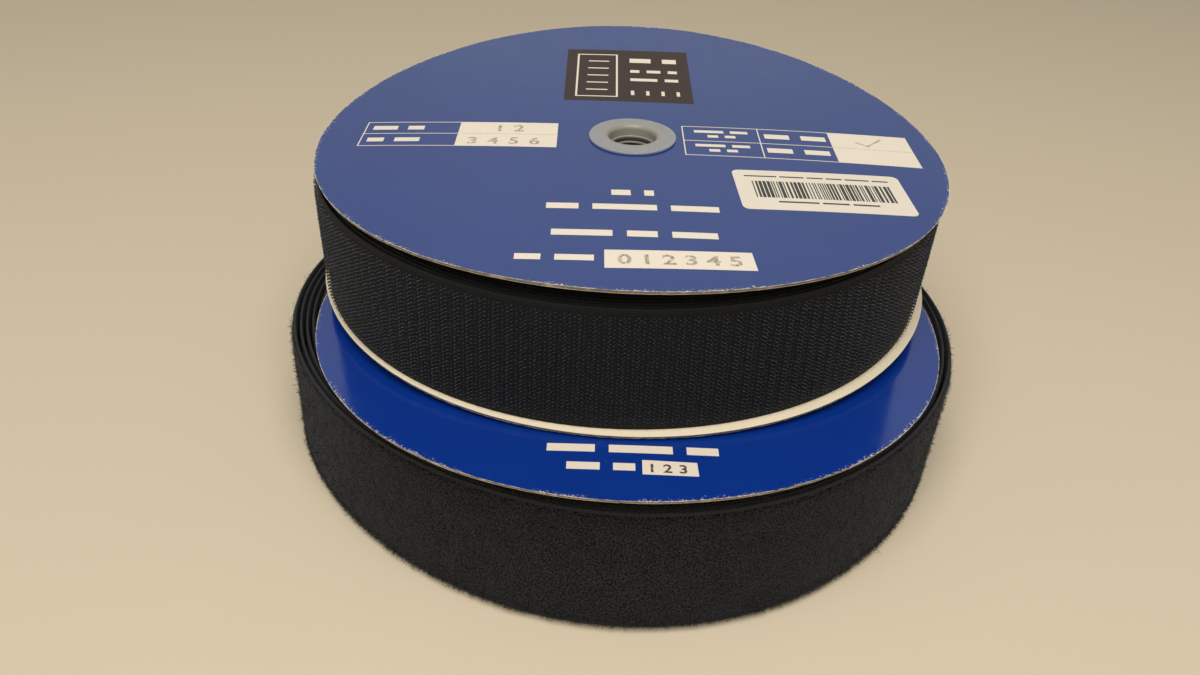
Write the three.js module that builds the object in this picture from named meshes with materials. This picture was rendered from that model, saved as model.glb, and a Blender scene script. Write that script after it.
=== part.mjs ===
// Two reels of 25 m hook and loop tape, stacked flat: the hook reel stands on the loop reel.
// Millimetres, +Z up. The origin is the centre of the footprint, on the surface they stand on.

import * as THREE from 'three';

// Tape, alike on both reels but for its thickness over hooks or pile
const TAPE_WIDTH = 50;
const TAPE_LENGTH = 25000;
const HOOK_TAPE_THICKNESS = 2.1;
const LOOP_TAPE_THICKNESS = 2.47;
const TURN_GAP = 0.45;
const TAPE_SEAT = 0.1;
const TAPE_SLACK = 2.1;
const HOOK_LOOSE_TURNS = 3;
const LOOP_LOOSE_TURNS = 6;
const FREE_END_LENGTH = 52;
const FREE_END_GAP = 0.6;
const HOOK_END_ANGLE = 100;
const LOOP_END_ANGLE = 118;

// Card flanges: grey board between a printed facing and a white liner. The one that the pair
// stands on is a little smaller, and the tape hides its rim.
const FLANGE_RADIUS = 132.8;
const FOOT_FLANGE_RADIUS = 129.5;
const BOARD_THICKNESS = 1;
const FACING_THICKNESS = 0.15;
const LINER_THICKNESS = 0.15;
const GLUE_LINE = 0.05;

// Bow of the card: how far the rim leaves the plane of the hub
const TOP_SIDE_SAG = 4;
const HOOK_FRONT_RISE = 2.7;
const HOOK_BACK_RISE = 6.2;
const LOOP_FRONT_RISE = 4.4;
const RIM_LIFT = 0.2;

// Card core tube and the plastic plugs pushed into its ends
const CORE_BORE_RADIUS = 12.5;
const CORE_WALL = 4.5;
const PLUG_CLEARANCE = 0.12;
const PLUG_LENGTH = 11.5;
const COLLAR_RADIUS = 18.75;
const COLLAR_THICKNESS = 1.6;
const COLLAR_EDGE_RADIUS = 0.6;
const MOUTH_RADIUS = 11;
const MOUTH_LIP_RADIUS = 1.9;
const MOUTH_DEPTH = 3.2;
const BORE_RADIUS = 9.9;
const BORE_TAPER = 0.5;
const LEDGE_STEP = 0.6;
const LEDGE_WIDTH = 0.9;
const TIP_TAPER = 0.25;
const TIP_TAPER_LENGTH = 1.2;

// Label stuck on the top flange, measured from the hub
const LABEL_LENGTH = 69;
const LABEL_DEPTH = 36;
const LABEL_CORNER = 3;
const LABEL_THICKNESS = 0.2;
const LABEL_X = 76;
const LABEL_Y = -44;

// How far the outermost turn leaves a true spiral about its hub, along its foot and its top edge.
// Each pair is a cosine and a sine: first a shift, then an oval, then a three-cornered share.
const HOOK_FOOT_WAVES = [[-2.5, -1.3], [1.5, 0.7]];
const HOOK_TOP_WAVES = [[-1.7, -2.5], [3.8, 0.6]];
const LOOP_FOOT_WAVES = [[-3.7, 8.1], [2.6, -1.5], [-0.7, 2.5]];
const LOOP_TOP_WAVES = [[-2.8, 12.4], [4.7, -2], [-0.4, 1.6]];

// Place of the lower reel, measured from the upper one
const LOWER_REEL_X = 1.2;
const LOWER_REEL_Y = -34.8;

// Small gaps between pieces that touch or pass each other
const SEAT_GAP = 0.05;
const CLEARANCE = 0.3;

// Counts
const DISC_SEGMENTS = 48;
const TURN_SEGMENTS = 64;
const LATHE_SEGMENTS = 28;
const ROUND_STEPS = 3;
const LABEL_COLUMNS = 6;
const LABEL_ROWS = 4;

// Sizes that follow
const CORE_RADIUS = CORE_BORE_RADIUS + CORE_WALL;
const BARREL_RADIUS = CORE_BORE_RADIUS - PLUG_CLEARANCE;
const CLAMP_RADIUS = COLLAR_RADIUS;
const PACK_BORE_RADIUS = CORE_RADIUS + CLEARANCE;
const FLANGE_THICKNESS = FACING_THICKNESS + BOARD_THICKNESS + LINER_THICKNESS + 2 * GLUE_LINE;
const FLANGE_SPACING = TAPE_SEAT + TAPE_WIDTH + TOP_SIDE_SAG + TAPE_SLACK;
const OVER_FLANGES = FLANGE_SPACING + 2 * FLANGE_THICKNESS;
const OVER_COLLARS = OVER_FLANGES + 2 * COLLAR_THICKNESS;
const STACK_STEP = OVER_COLLARS + SEAT_GAP;
const LOOP_BACK_RISE = 2 * COLLAR_THICKNESS - CLEARANCE;
const FOOT_SAG = COLLAR_THICKNESS - RIM_LIFT;

const MATERIALS = {
  facing: new THREE.MeshStandardMaterial({ color: 0x14389a, roughness: 0.38, metalness: 0 }),
  board: new THREE.MeshStandardMaterial({ color: 0xb9b2a2, roughness: 0.95, metalness: 0 }),
  liner: new THREE.MeshStandardMaterial({ color: 0xe9e2cf, roughness: 0.85, metalness: 0 }),
  core: new THREE.MeshStandardMaterial({ color: 0x7d6a52, roughness: 0.95, metalness: 0 }),
  plug: new THREE.MeshStandardMaterial({ color: 0xcfccc0, roughness: 0.4, metalness: 0 }),
  hookTape: new THREE.MeshStandardMaterial({ color: 0x17171a, roughness: 0.75, metalness: 0 }),
  loopTape: new THREE.MeshStandardMaterial({ color: 0x25231f, roughness: 1, metalness: 0 }),
  label: new THREE.MeshStandardMaterial({ color: 0xf0eee6, roughness: 0.6, metalness: 0 }),
};

// Geometry from a list of points and triangles
function solid(points, triangles) {
  const geometry = new THREE.BufferGeometry();
  geometry.setAttribute('position', new THREE.Float32BufferAttribute(points.flat(), 3));
  geometry.setIndex(triangles);
  geometry.computeVertexNormals();
  return geometry;
}

function piece(name, material, geometry) {
  const mesh = new THREE.Mesh(geometry, material);
  mesh.name = name;
  return mesh;
}

// Height of a bowed card over the plane of its hub. The collar and the core clamp it flat up to
// CLAMP_RADIUS, and from there it leaves that plane with the square of the radius.
function bowHeight(x, y, bow) {
  const squared = x * x + y * y;
  const clamped = CLAMP_RADIUS * CLAMP_RADIUS;
  if (squared <= clamped) return 0;
  const rise = y < 0 ? bow.front : bow.back;
  const rim = (bow.side * x * x + rise * y * y) / squared;
  return rim * (squared - clamped) / (bow.radius * bow.radius - clamped);
}

// A card disc with a hole, bowed, as rings of points on its two faces
function bowedDisc(bottom, thickness, radii, bow) {
  const points = [];
  for (const level of [bottom, bottom + thickness]) {
    for (const radius of radii) {
      for (let i = 0; i < DISC_SEGMENTS; i++) {
        const angle = 2 * Math.PI * i / DISC_SEGMENTS;
        const x = radius * Math.cos(angle);
        const y = radius * Math.sin(angle);
        points.push([x, y, level + bowHeight(x, y, bow)]);
      }
    }
  }
  const face = radii.length * DISC_SEGMENTS;
  const triangles = [];
  const quad = (a, b, c, d) => triangles.push(a, b, c, a, c, d);
  for (let i = 0; i < DISC_SEGMENTS; i++) {
    const next = (i + 1) % DISC_SEGMENTS;
    for (let ring = 0; ring + 1 < radii.length; ring++) {
      const inner = ring * DISC_SEGMENTS;
      const outer = inner + DISC_SEGMENTS;
      quad(inner + i, inner + next, outer + next, outer + i);
      quad(face + inner + i, face + outer + i, face + outer + next, face + inner + next);
    }
    const rim = face - DISC_SEGMENTS;
    quad(i, face + i, face + next, next);
    quad(rim + i, rim + next, face + rim + next, face + rim + i);
  }
  return solid(points, triangles);
}

// Ring radii of a disc: a flat one needs none between its hole and its rim
function discRings({ radius, side, front, back }) {
  const isFlat = [side, front, back].every((height) => height === 0);
  if (isFlat) return [CORE_BORE_RADIUS, radius];
  return [CORE_BORE_RADIUS, CLAMP_RADIUS, (CLAMP_RADIUS + radius) / 2, radius];
}

// The three sheets of one flange. Its facing is outside and its liner is towards the tape.
function flange(name, outerFace, inward, bow) {
  const rings = discRings(bow);
  const sheets = [
    ['facing', FACING_THICKNESS, MATERIALS.facing],
    ['board', BOARD_THICKNESS, MATERIALS.board],
    ['liner', LINER_THICKNESS, MATERIALS.liner],
  ];
  const meshes = [];
  let depth = 0;
  for (const [sheet, thickness, material] of sheets) {
    const near = outerFace + inward * depth;
    const bottom = inward > 0 ? near : near - thickness;
    meshes.push(piece(`${name}_${sheet}`, material, bowedDisc(bottom, thickness, rings, bow)));
    depth += thickness + GLUE_LINE;
  }
  return meshes;
}

// Points of a round corner in a lathe profile
function roundCorner(centreRadius, centreHeight, radius, from, to) {
  const points = [];
  for (let i = 0; i <= ROUND_STEPS; i++) {
    const angle = THREE.MathUtils.degToRad(from + (to - from) * i / ROUND_STEPS);
    const r = centreRadius + radius * Math.cos(angle);
    points.push(new THREE.Vector2(r, centreHeight + radius * Math.sin(angle)));
  }
  return points;
}

// Profile of a plug, with height 0 at the flange's outer face and the collar above it
function plugProfile() {
  const point = (r, z) => new THREE.Vector2(r, z);
  const tip = -PLUG_LENGTH;
  const edge = COLLAR_EDGE_RADIUS;
  const upperLedge = -MOUTH_DEPTH;
  const ledgePitch = (PLUG_LENGTH - MOUTH_DEPTH - LEDGE_WIDTH) / 2;
  const profile = [point(BARREL_RADIUS - TIP_TAPER, tip)];
  profile.push(point(BARREL_RADIUS, tip + TIP_TAPER_LENGTH), point(BARREL_RADIUS, SEAT_GAP));
  profile.push(point(COLLAR_RADIUS, SEAT_GAP));
  profile.push(...roundCorner(COLLAR_RADIUS - edge, COLLAR_THICKNESS - edge, edge, 0, 90));
  const lip = MOUTH_LIP_RADIUS;
  profile.push(...roundCorner(MOUTH_RADIUS + lip, COLLAR_THICKNESS - lip, lip, 90, 180));
  for (let ledge = 0; ledge < 3; ledge++) {
    const top = upperLedge - ledge * ledgePitch;
    const bore = BORE_RADIUS - BORE_TAPER * ledge / 2;
    profile.push(point(bore, top), point(bore - LEDGE_STEP, top));
    profile.push(point(bore - LEDGE_STEP, top - LEDGE_WIDTH));
    if (ledge < 2) profile.push(point(bore, top - LEDGE_WIDTH));
  }
  profile.push(profile[0].clone());
  return profile;
}

function hubPlug(name, outerFace, flip) {
  const mesh = piece(name, MATERIALS.plug, new THREE.LatheGeometry(plugProfile(), LATHE_SEGMENTS));
  mesh.rotation.x = flip ? -Math.PI / 2 : Math.PI / 2;
  mesh.position.z = outerFace;
  return mesh;
}

function coreTube(name, bottom) {
  const length = FLANGE_SPACING - 2 * SEAT_GAP;
  const profile = [
    new THREE.Vector2(CORE_BORE_RADIUS, 0),
    new THREE.Vector2(CORE_RADIUS, 0),
    new THREE.Vector2(CORE_RADIUS, length),
    new THREE.Vector2(CORE_BORE_RADIUS, length),
    new THREE.Vector2(CORE_BORE_RADIUS, 0),
  ];
  const geometry = new THREE.LatheGeometry(profile, LATHE_SEGMENTS);
  geometry.rotateX(Math.PI / 2);
  geometry.translate(0, 0, bottom + SEAT_GAP);
  return piece(name, MATERIALS.core, geometry);
}

// Radius of the outer face at the end of the tape, were the winding round
function fullRadius(winding) {
  return Math.sqrt(CORE_RADIUS ** 2 + winding.thickness * TAPE_LENGTH / Math.PI);
}

// Radius of a round winding's outer face: it grows by one tape thickness a turn
function roundRadius(winding, angle) {
  return fullRadius(winding) - winding.thickness * (winding.endAngle - angle) / (2 * Math.PI);
}

function waveSum(waves, angle) {
  const wave = ([cosine, sine], i) => cosine * Math.cos((i + 1) * angle) + sine * Math.sin((i + 1) * angle);
  return waves.map(wave).reduce((sum, part) => sum + part, 0);
}

// The packed turns keep halfway between foot and top edge, and grow into it from the core
function packedWave(winding, angle) {
  return (waveSum(winding.footWaves, angle) + waveSum(winding.topWaves, angle)) / 2;
}

function packedRadius(winding, angle) {
  const round = roundRadius(winding, angle);
  const share = (round - CORE_RADIUS) / (fullRadius(winding) - CORE_RADIUS);
  return round + share * packedWave(winding, angle);
}

// Outer and inner radius of a loose turn, at its foot or its top edge. Foot and top part from
// each other turn by turn. Where the turns crowd, the cloth is pressed thinner by as much.
function looseRadii(winding, waves, angle) {
  const packed = packedWave(winding, angle);
  const parting = waveSum(waves, angle) - packed;
  const turns = winding.looseTurns - (winding.endAngle - angle) / (2 * Math.PI);
  const outer = packedRadius(winding, angle) + parting * turns / winding.looseTurns;
  const crowding = winding.thickness * packed / (fullRadius(winding) - CORE_RADIUS);
  const pressed = Math.min(0, crowding) + Math.min(0, parting / winding.looseTurns);
  return { outer, inner: outer - (winding.thickness - TURN_GAP + pressed) };
}

function polar(radius, angle) {
  return new THREE.Vector2(radius * Math.cos(angle), radius * Math.sin(angle));
}

// The edges of the tape from one angle of the winding to another, as rows of points. The points
// of one turn stand over those of the turn before, so that the turns lie parallel.
function tapeEdges(winding, from, to) {
  const step = 2 * Math.PI / TURN_SEGMENTS;
  const steps = Math.ceil((to - from) / step);
  const edge = (waves) => {
    const rows = { outer: [], inner: [] };
    for (let i = 0; i <= steps; i++) {
      const angle = Math.min(from + i * step, to);
      const { outer, inner } = looseRadii(winding, waves, angle);
      rows.outer.push(polar(outer, angle));
      rows.inner.push(polar(inner, angle));
    }
    return rows;
  };
  return { foot: edge(winding.footWaves), top: edge(winding.topWaves) };
}

function distanceToSegment(point, a, b) {
  const along = b.clone().sub(a);
  const share = THREE.MathUtils.clamp(point.clone().sub(a).dot(along) / along.lengthSq(), 0, 1);
  return point.distanceTo(a.clone().addScaledVector(along, share));
}

// Least gap of the winding to itself: from its outer face to its inner face, next turn or later
function leastGap(edges) {
  let least = Infinity;
  for (let i = 0; i < edges.outer.length; i++) {
    for (let j = i + TURN_SEGMENTS / 2; j + 1 < edges.inner.length; j++) {
      const gap = distanceToSegment(edges.outer[i], edges.inner[j], edges.inner[j + 1]);
      least = Math.min(least, gap);
    }
  }
  return least;
}

// The strip of cloth between its edges: four rows of points, closed at both ends
function tapeStrip({ foot, top }) {
  const low = (point) => [point.x, point.y, 0];
  const high = (point) => [point.x, point.y, TAPE_WIDTH];
  const rows = [foot.inner.map(low), foot.outer.map(low), top.outer.map(high), top.inner.map(high)];
  const count = foot.inner.length;
  const triangles = [];
  const quad = (a, b, c, d) => triangles.push(a, b, c, a, c, d);
  for (let side = 0; side < rows.length; side++) {
    const here = side * count;
    const beside = (side + 1) % rows.length * count;
    for (let i = 0; i + 1 < count; i++) {
      quad(here + i, here + i + 1, beside + i + 1, beside + i);
    }
  }
  const end = count - 1;
  quad(0, count, 2 * count, 3 * count);
  quad(end, 3 * count + end, 2 * count + end, count + end);
  return solid(rows.flat(), triangles);
}

// Angles where the free end and the loose turns start
function windingAngles(winding) {
  const endRadius = fullRadius(winding);
  const freeEnd = winding.endAngle - FREE_END_LENGTH / endRadius;
  return {
    looseStart: winding.endAngle - winding.looseTurns * 2 * Math.PI,
    looseEnd: freeEnd - FREE_END_GAP / endRadius,
    freeEnd,
  };
}

// The packed turns under the loose ones: their skin climbs one tape thickness in its turn, and
// steps down where the loose turns leave it
function tapePack(winding, looseStart) {
  const skin = [];
  for (let i = 0; i <= TURN_SEGMENTS; i++) {
    const angle = looseStart - 2 * Math.PI + 2 * Math.PI * i / TURN_SEGMENTS;
    skin.push(polar(packedRadius(winding, angle), angle));
  }
  const outline = new THREE.Shape(skin);
  const bore = new THREE.Path();
  bore.absarc(0, 0, PACK_BORE_RADIUS, 0, 2 * Math.PI, true);
  outline.holes.push(bore);
  const options = { depth: TAPE_WIDTH, bevelEnabled: false, curveSegments: LATHE_SEGMENTS / 2, steps: 1 };
  return new THREE.ExtrudeGeometry(outline, options);
}

// Pack, loose turns and free end of one winding, standing on its lower flange. The loose turns
// sink with the card where it sags under all of them.
function windTape(name, material, bottom, bottomBow, winding) {
  const angles = windingAngles(winding);
  const loose = tapeEdges(winding, angles.looseStart + FREE_END_GAP / CORE_RADIUS, angles.looseEnd);
  const least = Math.min(leastGap(loose.foot), leastGap(loose.top));
  console.log(`${name}: least gap between turns ${least.toFixed(3)} mm`);
  const sunk = Math.max(...loose.foot.inner.map(({ x, y }) => bowHeight(x, y, bottomBow)));
  const free = tapeEdges(winding, angles.freeEnd, winding.endAngle);
  const meshes = [
    piece(`${name}_pack`, material, tapePack(winding, angles.looseStart)),
    piece(`${name}_outer_turns`, material, tapeStrip(loose)),
    piece(`${name}_free_end`, material, tapeStrip(free)),
  ];
  const heights = [bottom, bottom + sunk, bottom + sunk];
  meshes.forEach((mesh, i) => { mesh.position.z = heights[i]; });
  return meshes;
}

// Half the label's depth at a distance from its middle, less where its corners round off
function labelHalfDepth(x) {
  const into = Math.abs(x) - (LABEL_LENGTH / 2 - LABEL_CORNER);
  if (into <= 0) return LABEL_DEPTH / 2;
  return LABEL_DEPTH / 2 - LABEL_CORNER + Math.sqrt(Math.max(0, LABEL_CORNER ** 2 - into ** 2));
}

// Columns of the label: close together in its rounded corners, evenly spaced between them
function labelColumns() {
  const straight = LABEL_LENGTH / 2 - LABEL_CORNER;
  const columns = [];
  for (let i = 0; i < ROUND_STEPS; i++) {
    columns.push(-straight - LABEL_CORNER * Math.cos(Math.PI / 2 * i / ROUND_STEPS));
  }
  for (let i = 0; i <= LABEL_COLUMNS; i++) {
    columns.push(-straight + 2 * straight * i / LABEL_COLUMNS);
  }
  for (let i = ROUND_STEPS - 1; i >= 0; i--) {
    columns.push(straight + LABEL_CORNER * Math.cos(Math.PI / 2 * i / ROUND_STEPS));
  }
  return columns;
}

// A label that follows the bowed card under it
function labelSticker(name, cardFace, bow) {
  const columns = labelColumns();
  const points = [];
  for (const lift of [0, LABEL_THICKNESS]) {
    for (const column of columns) {
      for (let row = 0; row <= LABEL_ROWS; row++) {
        const x = LABEL_X + column;
        const y = LABEL_Y + labelHalfDepth(column) * (2 * row / LABEL_ROWS - 1);
        points.push([x, y, cardFace + CLEARANCE + bowHeight(x, y, bow) + lift]);
      }
    }
  }
  const line = LABEL_ROWS + 1;
  const face = columns.length * line;
  const last = (columns.length - 1) * line;
  const triangles = [];
  const quad = (a, b, c, d) => triangles.push(a, b, c, a, c, d);
  for (let column = 0; column + 1 < columns.length; column++) {
    const here = column * line;
    const next = here + line;
    for (let row = 0; row < LABEL_ROWS; row++) {
      quad(here + row, here + row + 1, next + row + 1, next + row);
      quad(face + here + row, face + next + row, face + next + row + 1, face + here + row + 1);
    }
    quad(here, next, face + next, face + here);
    quad(here + LABEL_ROWS, face + here + LABEL_ROWS, face + next + LABEL_ROWS, next + LABEL_ROWS);
  }
  for (let row = 0; row < LABEL_ROWS; row++) {
    quad(row, face + row, face + row + 1, row + 1);
    quad(last + row, last + row + 1, face + last + row + 1, face + last + row);
  }
  return piece(name, MATERIALS.label, solid(points, triangles));
}

// One reel, standing on its lower collar at height 0
function buildReel(name, tapeMaterial, winding, bottomBow, topBow) {
  const bottomFace = COLLAR_THICKNESS;
  const topFace = bottomFace + OVER_FLANGES;
  const liner = bottomFace + FLANGE_THICKNESS;
  const reel = new THREE.Group();
  reel.add(...flange(`${name}_bottom`, bottomFace, 1, bottomBow));
  reel.add(...flange(`${name}_top`, topFace, -1, topBow));
  reel.add(coreTube(`${name}_core_tube`, liner));
  reel.add(hubPlug(`${name}_bottom_plug`, bottomFace, true));
  reel.add(hubPlug(`${name}_top_plug`, topFace, false));
  reel.add(...windTape(`${name}_tape`, tapeMaterial, liner + TAPE_SEAT, bottomBow, winding));
  return reel;
}

const radius = FLANGE_RADIUS;
const side = -TOP_SIDE_SAG;
const flat = { radius, side: 0, front: 0, back: 0 };
const footBow = { radius: FOOT_FLANGE_RADIUS, side: -FOOT_SAG, front: -FOOT_SAG, back: -FOOT_SAG };
const loopTopBow = { radius, side, front: LOOP_FRONT_RISE, back: LOOP_BACK_RISE };
const hookTopBow = { radius, side, front: HOOK_FRONT_RISE, back: HOOK_BACK_RISE };

const hookWinding = {
  footWaves: HOOK_FOOT_WAVES,
  topWaves: HOOK_TOP_WAVES,
  thickness: HOOK_TAPE_THICKNESS,
  looseTurns: HOOK_LOOSE_TURNS,
  endAngle: THREE.MathUtils.degToRad(HOOK_END_ANGLE),
};
const loopWinding = {
  footWaves: LOOP_FOOT_WAVES,
  topWaves: LOOP_TOP_WAVES,
  thickness: LOOP_TAPE_THICKNESS,
  looseTurns: LOOP_LOOSE_TURNS,
  endAngle: THREE.MathUtils.degToRad(LOOP_END_ANGLE),
};

const lowerReel = buildReel('loop', MATERIALS.loopTape, loopWinding, footBow, loopTopBow);
lowerReel.position.set(LOWER_REEL_X, LOWER_REEL_Y, 0);

const upperReel = buildReel('hook', MATERIALS.hookTape, hookWinding, flat, hookTopBow);
upperReel.add(labelSticker('hook_label', COLLAR_THICKNESS + OVER_FLANGES, hookTopBow));
upperReel.position.z = STACK_STEP;

// The pair is moved so that the middle of its footprint is at the origin
const pair = new THREE.Group();
pair.add(lowerReel, upperReel);
const bounds = new THREE.Box3().setFromObject(pair, true);
pair.position.set(-(bounds.min.x + bounds.max.x) / 2, -(bounds.min.y + bounds.max.y) / 2, -bounds.min.z);

const model = new THREE.Group();
model.add(pair);

export default model;
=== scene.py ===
"""Two stacked reels of hook and loop tape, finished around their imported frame.

Lengths are metres, and MM turns millimetres into them. +Z is up, along the bores of the hubs.
"""

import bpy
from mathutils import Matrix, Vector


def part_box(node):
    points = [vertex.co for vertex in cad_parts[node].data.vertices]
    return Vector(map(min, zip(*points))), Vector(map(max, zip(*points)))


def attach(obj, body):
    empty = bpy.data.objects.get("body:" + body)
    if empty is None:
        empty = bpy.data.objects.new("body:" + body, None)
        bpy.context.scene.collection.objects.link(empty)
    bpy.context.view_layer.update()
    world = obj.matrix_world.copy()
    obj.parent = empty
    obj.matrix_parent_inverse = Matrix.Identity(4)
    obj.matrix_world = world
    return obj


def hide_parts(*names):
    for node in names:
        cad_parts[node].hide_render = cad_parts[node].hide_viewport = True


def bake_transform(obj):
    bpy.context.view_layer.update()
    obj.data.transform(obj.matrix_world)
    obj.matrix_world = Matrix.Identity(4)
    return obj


bl_info = {
    "name": "Hook and Loop Tape Reels",
    "version": (1, 0, 0),
    "blender": (4, 5, 0),
    "location": "View3D > Sidebar > Tape Reels",
    "description": "Card flanges, print, hub plugs and wound tapes of two stacked reels",
    "category": "Add Mesh",
}

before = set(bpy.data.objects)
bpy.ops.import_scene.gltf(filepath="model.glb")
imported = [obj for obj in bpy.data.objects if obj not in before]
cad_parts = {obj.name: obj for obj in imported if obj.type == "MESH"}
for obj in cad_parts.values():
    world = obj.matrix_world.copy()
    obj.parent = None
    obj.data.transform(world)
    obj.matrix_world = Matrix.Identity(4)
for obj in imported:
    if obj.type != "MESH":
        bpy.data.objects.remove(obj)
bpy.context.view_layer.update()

import math

import bmesh
import bpy
import numpy as np
from bpy.props import FloatProperty, FloatVectorProperty, IntProperty
from mathutils import Matrix, Vector

MM = 0.001
TURN = 2 * math.pi


# Reading the frame

RING_WIDTH = 0.1 * MM
SAME_PLACE = 0.01 * MM
LAYERS = ("facing", "board", "liner")
FLANGES = (("hook", "top"), ("hook", "bottom"), ("loop", "top"), ("loop", "bottom"))


def axis_of(node):
    """The vertical axis of a round CAD piece, as a point at height 0."""
    low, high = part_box(node)
    return Vector(((low.x + high.x) / 2, (low.y + high.y) / 2, 0))


def radius_of(node):
    """Outer radius of a round CAD piece."""
    low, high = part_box(node)
    return (high.x - low.x) / 2


def read_sheet(node, axis):
    """Hole, rim, place, thickness and bow of a card sheet, from its CAD mesh."""
    points = np.array([v.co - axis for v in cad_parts[node].data.vertices])
    radius = np.hypot(points[:, 0], points[:, 1])
    hub = points[radius < radius.min() + RING_WIDTH]
    rim = points[radius > radius.max() - RING_WIDTH]
    bottom, thickness = hub[:, 2].min(), np.ptp(hub[:, 2])

    def rise(x, y):
        along = rim[:, 0] * x + rim[:, 1] * y
        return rim[along > along.max() - SAME_PLACE][:, 2].min() - bottom

    return {
        "hole": radius.min(),
        "rim": radius.max(),
        "bottom": bottom,
        "thickness": thickness,
        "top": bottom + thickness,
        "side": rise(1, 0),
        "front": rise(0, -1),
        "back": rise(0, 1),
    }


def bow_height(sheet, clamp, x, y):
    """Height of a bowed sheet over the plane of its hub, at places measured from its axis."""
    squared = np.maximum(x * x + y * y, 1e-12)
    rise = np.where(y < 0, sheet["front"], sheet["back"])
    rim = (sheet["side"] * x * x + rise * y * y) / squared
    share = (squared - clamp ** 2) / (sheet["rim"] ** 2 - clamp ** 2)
    return np.where(squared <= clamp ** 2, 0, rim * share)


AXES = {reel: axis_of(reel + "_top_plug") for reel in ("hook", "loop")}
BODIES = {"hook": "upper_spool", "loop": "lower_reel"}
HUB_BODIES = {"hook": "upper_hub", "loop": "lower_reel"}


# Sizes and colours that a user would change

class StageSettings(bpy.types.PropertyGroup):
    floor_colour: FloatVectorProperty(
        name="Floor colour", description="Colour of the plain sheet that the reels stand on",
        subtype="COLOR", size=3, default=(0.7, 0.585, 0.412), min=0, max=1)
    floor_size: FloatProperty(
        name="Floor size", description="Side of the square floor",
        unit="LENGTH", default=12, min=1)
    sky_strength: FloatProperty(
        name="Sky strength", description="Strength of the even light from all round",
        default=0.23, min=0)
    horizon_strength: FloatProperty(
        name="Reflected horizon",
        description="Brightness of the room's walls where gloss reflects them",
        default=0.52, min=0)
    ceiling_strength: FloatProperty(
        name="Reflected ceiling",
        description="Brightness of the pale ceiling ahead where gloss reflects it",
        default=0.84, min=0)
    lamp_size: FloatProperty(
        name="Lamp size", description="Side of the soft lamp above the reels",
        unit="LENGTH", default=1.3, min=0.1)
    lamp_energy: FloatProperty(
        name="Lamp power", description="Power of the soft lamp above the reels",
        unit="POWER", default=27.5, min=0)
    camera_right: FloatProperty(
        name="Camera to the right", description="Camera place from the upper hub, along X",
        unit="LENGTH", default=-7.06 * MM)
    camera_back: FloatProperty(
        name="Camera distance", description="Camera place from the upper hub, towards the front",
        unit="LENGTH", default=442.5 * MM)
    camera_up: FloatProperty(
        name="Camera height", description="Camera place over the face of the upper flange",
        unit="LENGTH", default=188.6 * MM)
    camera_pitch: FloatProperty(
        name="Camera pitch", description="How far the camera looks down",
        subtype="ANGLE", default=0.584)
    camera_roll: FloatProperty(
        name="Camera roll", description="How far the camera leans to one side",
        subtype="ANGLE", default=0.039)
    camera_yaw: FloatProperty(
        name="Camera yaw", description="How far the camera looks to the right",
        subtype="ANGLE", default=-0.008)
    camera_lens: FloatProperty(
        name="Camera lens", description="Focal length on a sensor 36 mm wide, in millimetres",
        default=32.97, min=1)


class CardSettings(bpy.types.PropertyGroup):
    facing_colour: FloatVectorProperty(
        name="Facing colour", description="Printed colour of the outer paper",
        subtype="COLOR", size=3, default=(0.0034, 0.032, 0.235), min=0, max=1)
    upper_facing_colour: FloatVectorProperty(
        name="Upper facing colour", description="Printed colour of the upper reel's outer paper",
        subtype="COLOR", size=3, default=(0.003, 0.0285, 0.19), min=0, max=1)
    board_colour: FloatVectorProperty(
        name="Board colour", description="Colour of the cut edge of the board",
        subtype="COLOR", size=3, default=(0.25, 0.228, 0.185), min=0, max=1)
    liner_colour: FloatVectorProperty(
        name="Liner colour", description="Colour of the inner paper",
        subtype="COLOR", size=3, default=(0.87, 0.735, 0.515), min=0, max=1)
    nibble_depth: FloatProperty(
        name="Nibbled rim", description="Deepest nick where the rim has been knocked",
        unit="LENGTH", default=0.7 * MM, min=0)
    rim_taper: FloatProperty(
        name="Tapered rim",
        description="How far the cut of the rim runs in from its top to its foot",
        unit="LENGTH", default=0.6 * MM, min=0)
    rim_steps: IntProperty(
        name="Rim steps", description="Steps round the rim of a sheet", default=640, min=64)


class PrintSettings(bpy.types.PropertyGroup):
    ink_colour: FloatVectorProperty(
        name="Unprinted colour", description="White paper left bare inside the blue print",
        subtype="COLOR", size=3, default=(0.87, 0.74, 0.58), min=0, max=1)
    panel_colour: FloatVectorProperty(
        name="Panel colour", description="Colour of the dark panel",
        subtype="COLOR", size=3, default=(0.032, 0.0125, 0.0105), min=0, max=1)
    stamp_colour: FloatVectorProperty(
        name="Stamp colour", description="Colour of the stamped numbers",
        subtype="COLOR", size=3, default=(0.27, 0.22, 0.15), min=0, max=1)
    line_width: FloatProperty(
        name="Line width", description="Width of the table lines",
        unit="LENGTH", default=0.5 * MM, min=0.05 * MM)
    ink_height: FloatProperty(
        name="Ink height", description="How far the ink stands on the paper",
        unit="LENGTH", default=0.02 * MM, min=0)


class LabelSettings(bpy.types.PropertyGroup):
    paper_colour: FloatVectorProperty(
        name="Paper colour", description="Colour of the label's paper",
        subtype="COLOR", size=3, default=(0.82, 0.71, 0.57), min=0, max=1)
    bar_colour: FloatVectorProperty(
        name="Bar colour", description="Colour of the printed bars",
        subtype="COLOR", size=3, default=(0.02, 0.018, 0.019), min=0, max=1)
    corner: FloatProperty(
        name="Corner radius", description="Radius of the label's corners",
        unit="LENGTH", default=3 * MM, min=0)
    thickness: FloatProperty(
        name="Thickness", description="Thickness of the label",
        unit="LENGTH", default=0.12 * MM, min=0)
    slant: FloatProperty(
        name="Slant", description="How far the label is stuck on askew",
        subtype="ANGLE", default=0.065)


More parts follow.
